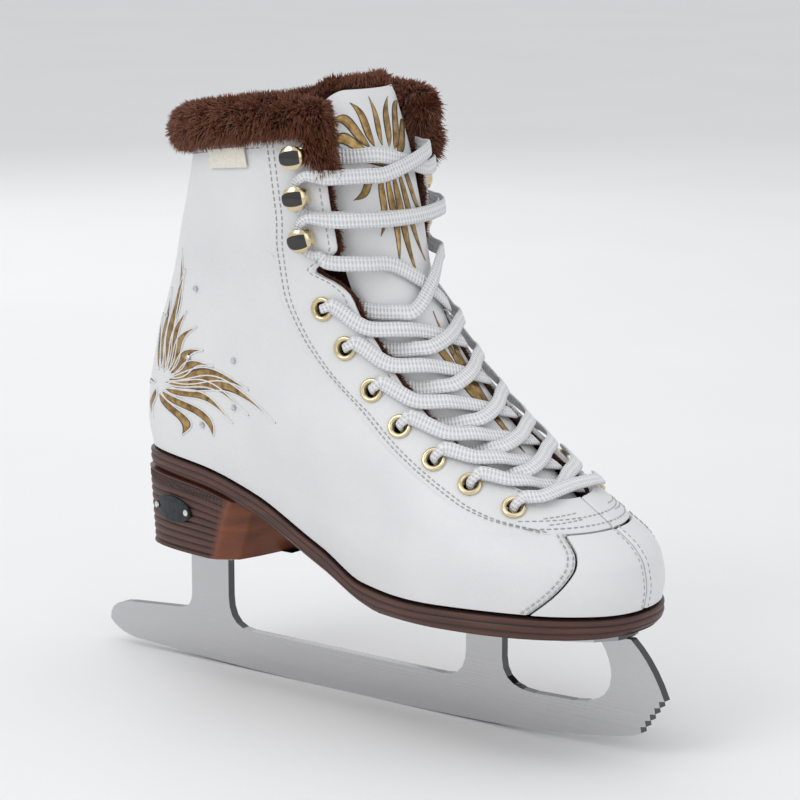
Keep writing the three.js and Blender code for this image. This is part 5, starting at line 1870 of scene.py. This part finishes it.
FINISHES = {
    "leather": Leather("White leather", (0.68, 0.682, 0.69, 1), (0.73, 0.732, 0.738, 1)),
    "plush": Plush("Brown plush", (0.012, 0.004, 0.002, 1), (0.085, 0.024, 0.011, 1), False),
    "fur": Plush("Brown fur", (0.022, 0.007, 0.003, 1), (0.27, 0.092, 0.043, 1), True),
    # sole: painted groove shade, painted ridge light, then the breast's own colour
    "sole": Stacked("Stacked sole", (0.012, 0.005, 0.004, 1), (0.105, 0.03, 0.015, 1),
                    (0.21, 0.055, 0.018, 1)),
    "gold": Metal("Pale gold", (0.84, 0.74, 0.50, 1), (0.62, 0.50, 0.28, 1), 0.12),
    # painted reflection: the dark colour on the hooks' domes
    "hook_reflection": Metal("Smoked metal", (0.10, 0.10, 0.105, 1), (0.05, 0.048, 0.046, 1), 0.10),
    # satin steel; the last colour is the painted shade on the blade's edges
    "steel": Metal("Satin steel", (0.62, 0.62, 0.63, 1), (0.52, 0.52, 0.53, 1), 0.27, 0.25,
                   (0.10, 0.10, 0.105, 1)),
    "bright": Metal("Bright steel", (0.80, 0.80, 0.79, 1), (0.66, 0.66, 0.66, 1), 0.16),
    # the second colour is painted shade in the braid's gaps
    "braid": Braid("White braid", (0.83, 0.83, 0.84, 1), (0.56, 0.56, 0.58, 1)),
    "thread": Coat("Grey thread", grey(0.30), grey(0.44), 0.7),
    "foil": Coat("Gold foil", (0.16, 0.085, 0.025, 1), (0.50, 0.33, 0.13, 1), 0.28, 0.8, 320, 0.3),
    # painted shadow under the foil leaves
    "leaf_shadow_paint": Coat("Painted leaf shadow", (0.05, 0.035, 0.02, 1), (0.10, 0.07, 0.04, 1), 0.4),
    "relief": Coat("Padded outline", grey(0.66), grey(0.74), 0.38, 0, 300, 0.15),
    "crystal": Coat("Cut stone", (0.50, 0.52, 0.55, 1), (0.74, 0.76, 0.79, 1), 0.06, 0.95, 900,
                    0.0),
    "ink": Coat("Black outline", grey(0.012), grey(0.03), 0.35),
    "badge": Coat("Dark badge", (0.012, 0.016, 0.02, 1), (0.035, 0.04, 0.045, 1), 0.22, 0.6),
    "tag": Coat("Cream tag", (0.70, 0.66, 0.56, 1), (0.80, 0.77, 0.69, 1), 0.75, 0, 900, 0.3),
    "board": Coat("Fibre board", (0.34, 0.20, 0.10, 1), (0.50, 0.33, 0.18, 1), 0.8, 0, 700, 0.3),
    "tip": Coat("Clear tip", grey(0.72), grey(0.85), 0.2),
}
KEPT_NODES = {"blade": "steel", "sole_plate": "steel", "heel_plate": "steel",
              "sole_screw": "bright",
              "heel_screw": "bright", "badge_rivet": "bright", "heel_badge": "badge",
              "side_label": "tag",
              "insole_board": "board", "footbed": "plush", "aglet": "tip"}


# ---------------------------------------------------------------- studio
@dataclass(frozen=True)
class Studio:
    """Camera, floor and light.

    The camera's place is in millimetres and its angles in degrees. Lamps have a name, a place and a
    size in metres, and a power in watts.
    """

    camera_at: tuple[float, float, float] = (793.994, -984.337, 378.021)
    camera_tilt: float = 78.67
    camera_turn: float = 38.0
    lens: float = 140.96
    lamps: tuple = (("Key", (-0.35, -1.5, 1.25), 1.0, 8.5), ("Fill", (1.5, -0.5, 0.8), 1.2, 3.2),
                    ("Top", (0.0, 0.1, 1.7), 1.4, 3.6), ("Rim", (-1.2, 0.9, 0.9), 1.0, 3.6))
    lamp_aim: tuple[float, float, float] = (0.0, 0.0, 0.12)
    sky: Colour = (0.95, 0.96, 0.98, 1)
    sky_strength: float = 0.80
    floor_reach: float = 6.0

    def camera(self) -> None:
        """Makes the scene's camera."""
        data = bpy.data.cameras.new("Camera")
        data.lens, data.sensor_width, data.clip_end = self.lens, 36.0, 20.0
        camera = bpy.data.objects.new("Camera", data)
        bpy.context.scene.collection.objects.link(camera)
        camera.location = [v * MM for v in self.camera_at]
        camera.rotation_euler = (math.radians(self.camera_tilt), 0, math.radians(self.camera_turn))
        bpy.context.scene.camera = camera

    def light(self) -> None:
        """Makes a soft key, a fill, a top and a rim light, and a pale surround."""
        for name, at, size, power in self.lamps:
            data = bpy.data.lights.new(name, "AREA")
            data.size, data.energy = size, power
            lamp = bpy.data.objects.new(name, data)
            bpy.context.scene.collection.objects.link(lamp)
            lamp.location = at
            x, y, z = np.array(at) - self.lamp_aim
            lamp.rotation_euler = (math.atan2(math.hypot(x, y), z), 0,
                                   math.atan2(y, x) + math.pi / 2)
        world = bpy.data.worlds.new("World")
        world.use_nodes = True
        surround = world.node_tree.nodes["Background"].inputs
        surround["Color"].default_value = self.sky
        surround["Strength"].default_value = self.sky_strength
        bpy.context.scene.world = world
        bpy.context.scene.view_settings.view_transform = "Standard"

    def floor(self) -> None:
        """Makes the pale floor that the blade stands on."""
        mesh = bpy.data.meshes.new("Floor")
        far = self.floor_reach
        mesh.from_pydata([(-far, -far, 0), (far, -far, 0), (far, far, 0), (-far, far, 0)], [],
                         [(0, 1, 2, 3)])
        floor = bpy.data.objects.new("Floor", mesh)
        bpy.context.scene.collection.objects.link(floor)
        mesh.materials.append(Coat("Floor", grey(0.80), grey(0.82), 0.7, 0, 5, 0.0).build())


def dress_nodes(frame: dict, finishes: dict[str, bpy.types.Material]) -> None:
    """Gives every CAD node that stays its finish.

    Args:
        frame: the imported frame.
        finishes: the materials by name.
    """
    for name, node in frame["nodes"].items():
        for start, finish in KEPT_NODES.items():
            if name.startswith(start):
                node.data.materials.clear()
                node.data.materials.append(finishes[finish])


def main() -> None:
    """Builds the scene on the frame."""
    logging.basicConfig(level=logging.INFO, format="%(message)s")
    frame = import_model()
    studio = Studio()
    studio.camera()
    finishes = {name: finish.build() for name, finish in FINISHES.items()}
    dress_nodes(frame, finishes)
    bench, boot = Bench(finishes), Boot()
    Lace(boot, bench).build()
    upper = Upper(boot, bench)
    upper.build()
    Base(boot, bench).build()
    Hardware(boot, bench).build()
    Trim(boot, bench).build()
    Fur(upper).build()
    studio.light()
    studio.floor()


if __name__ == "__main__":
    main()
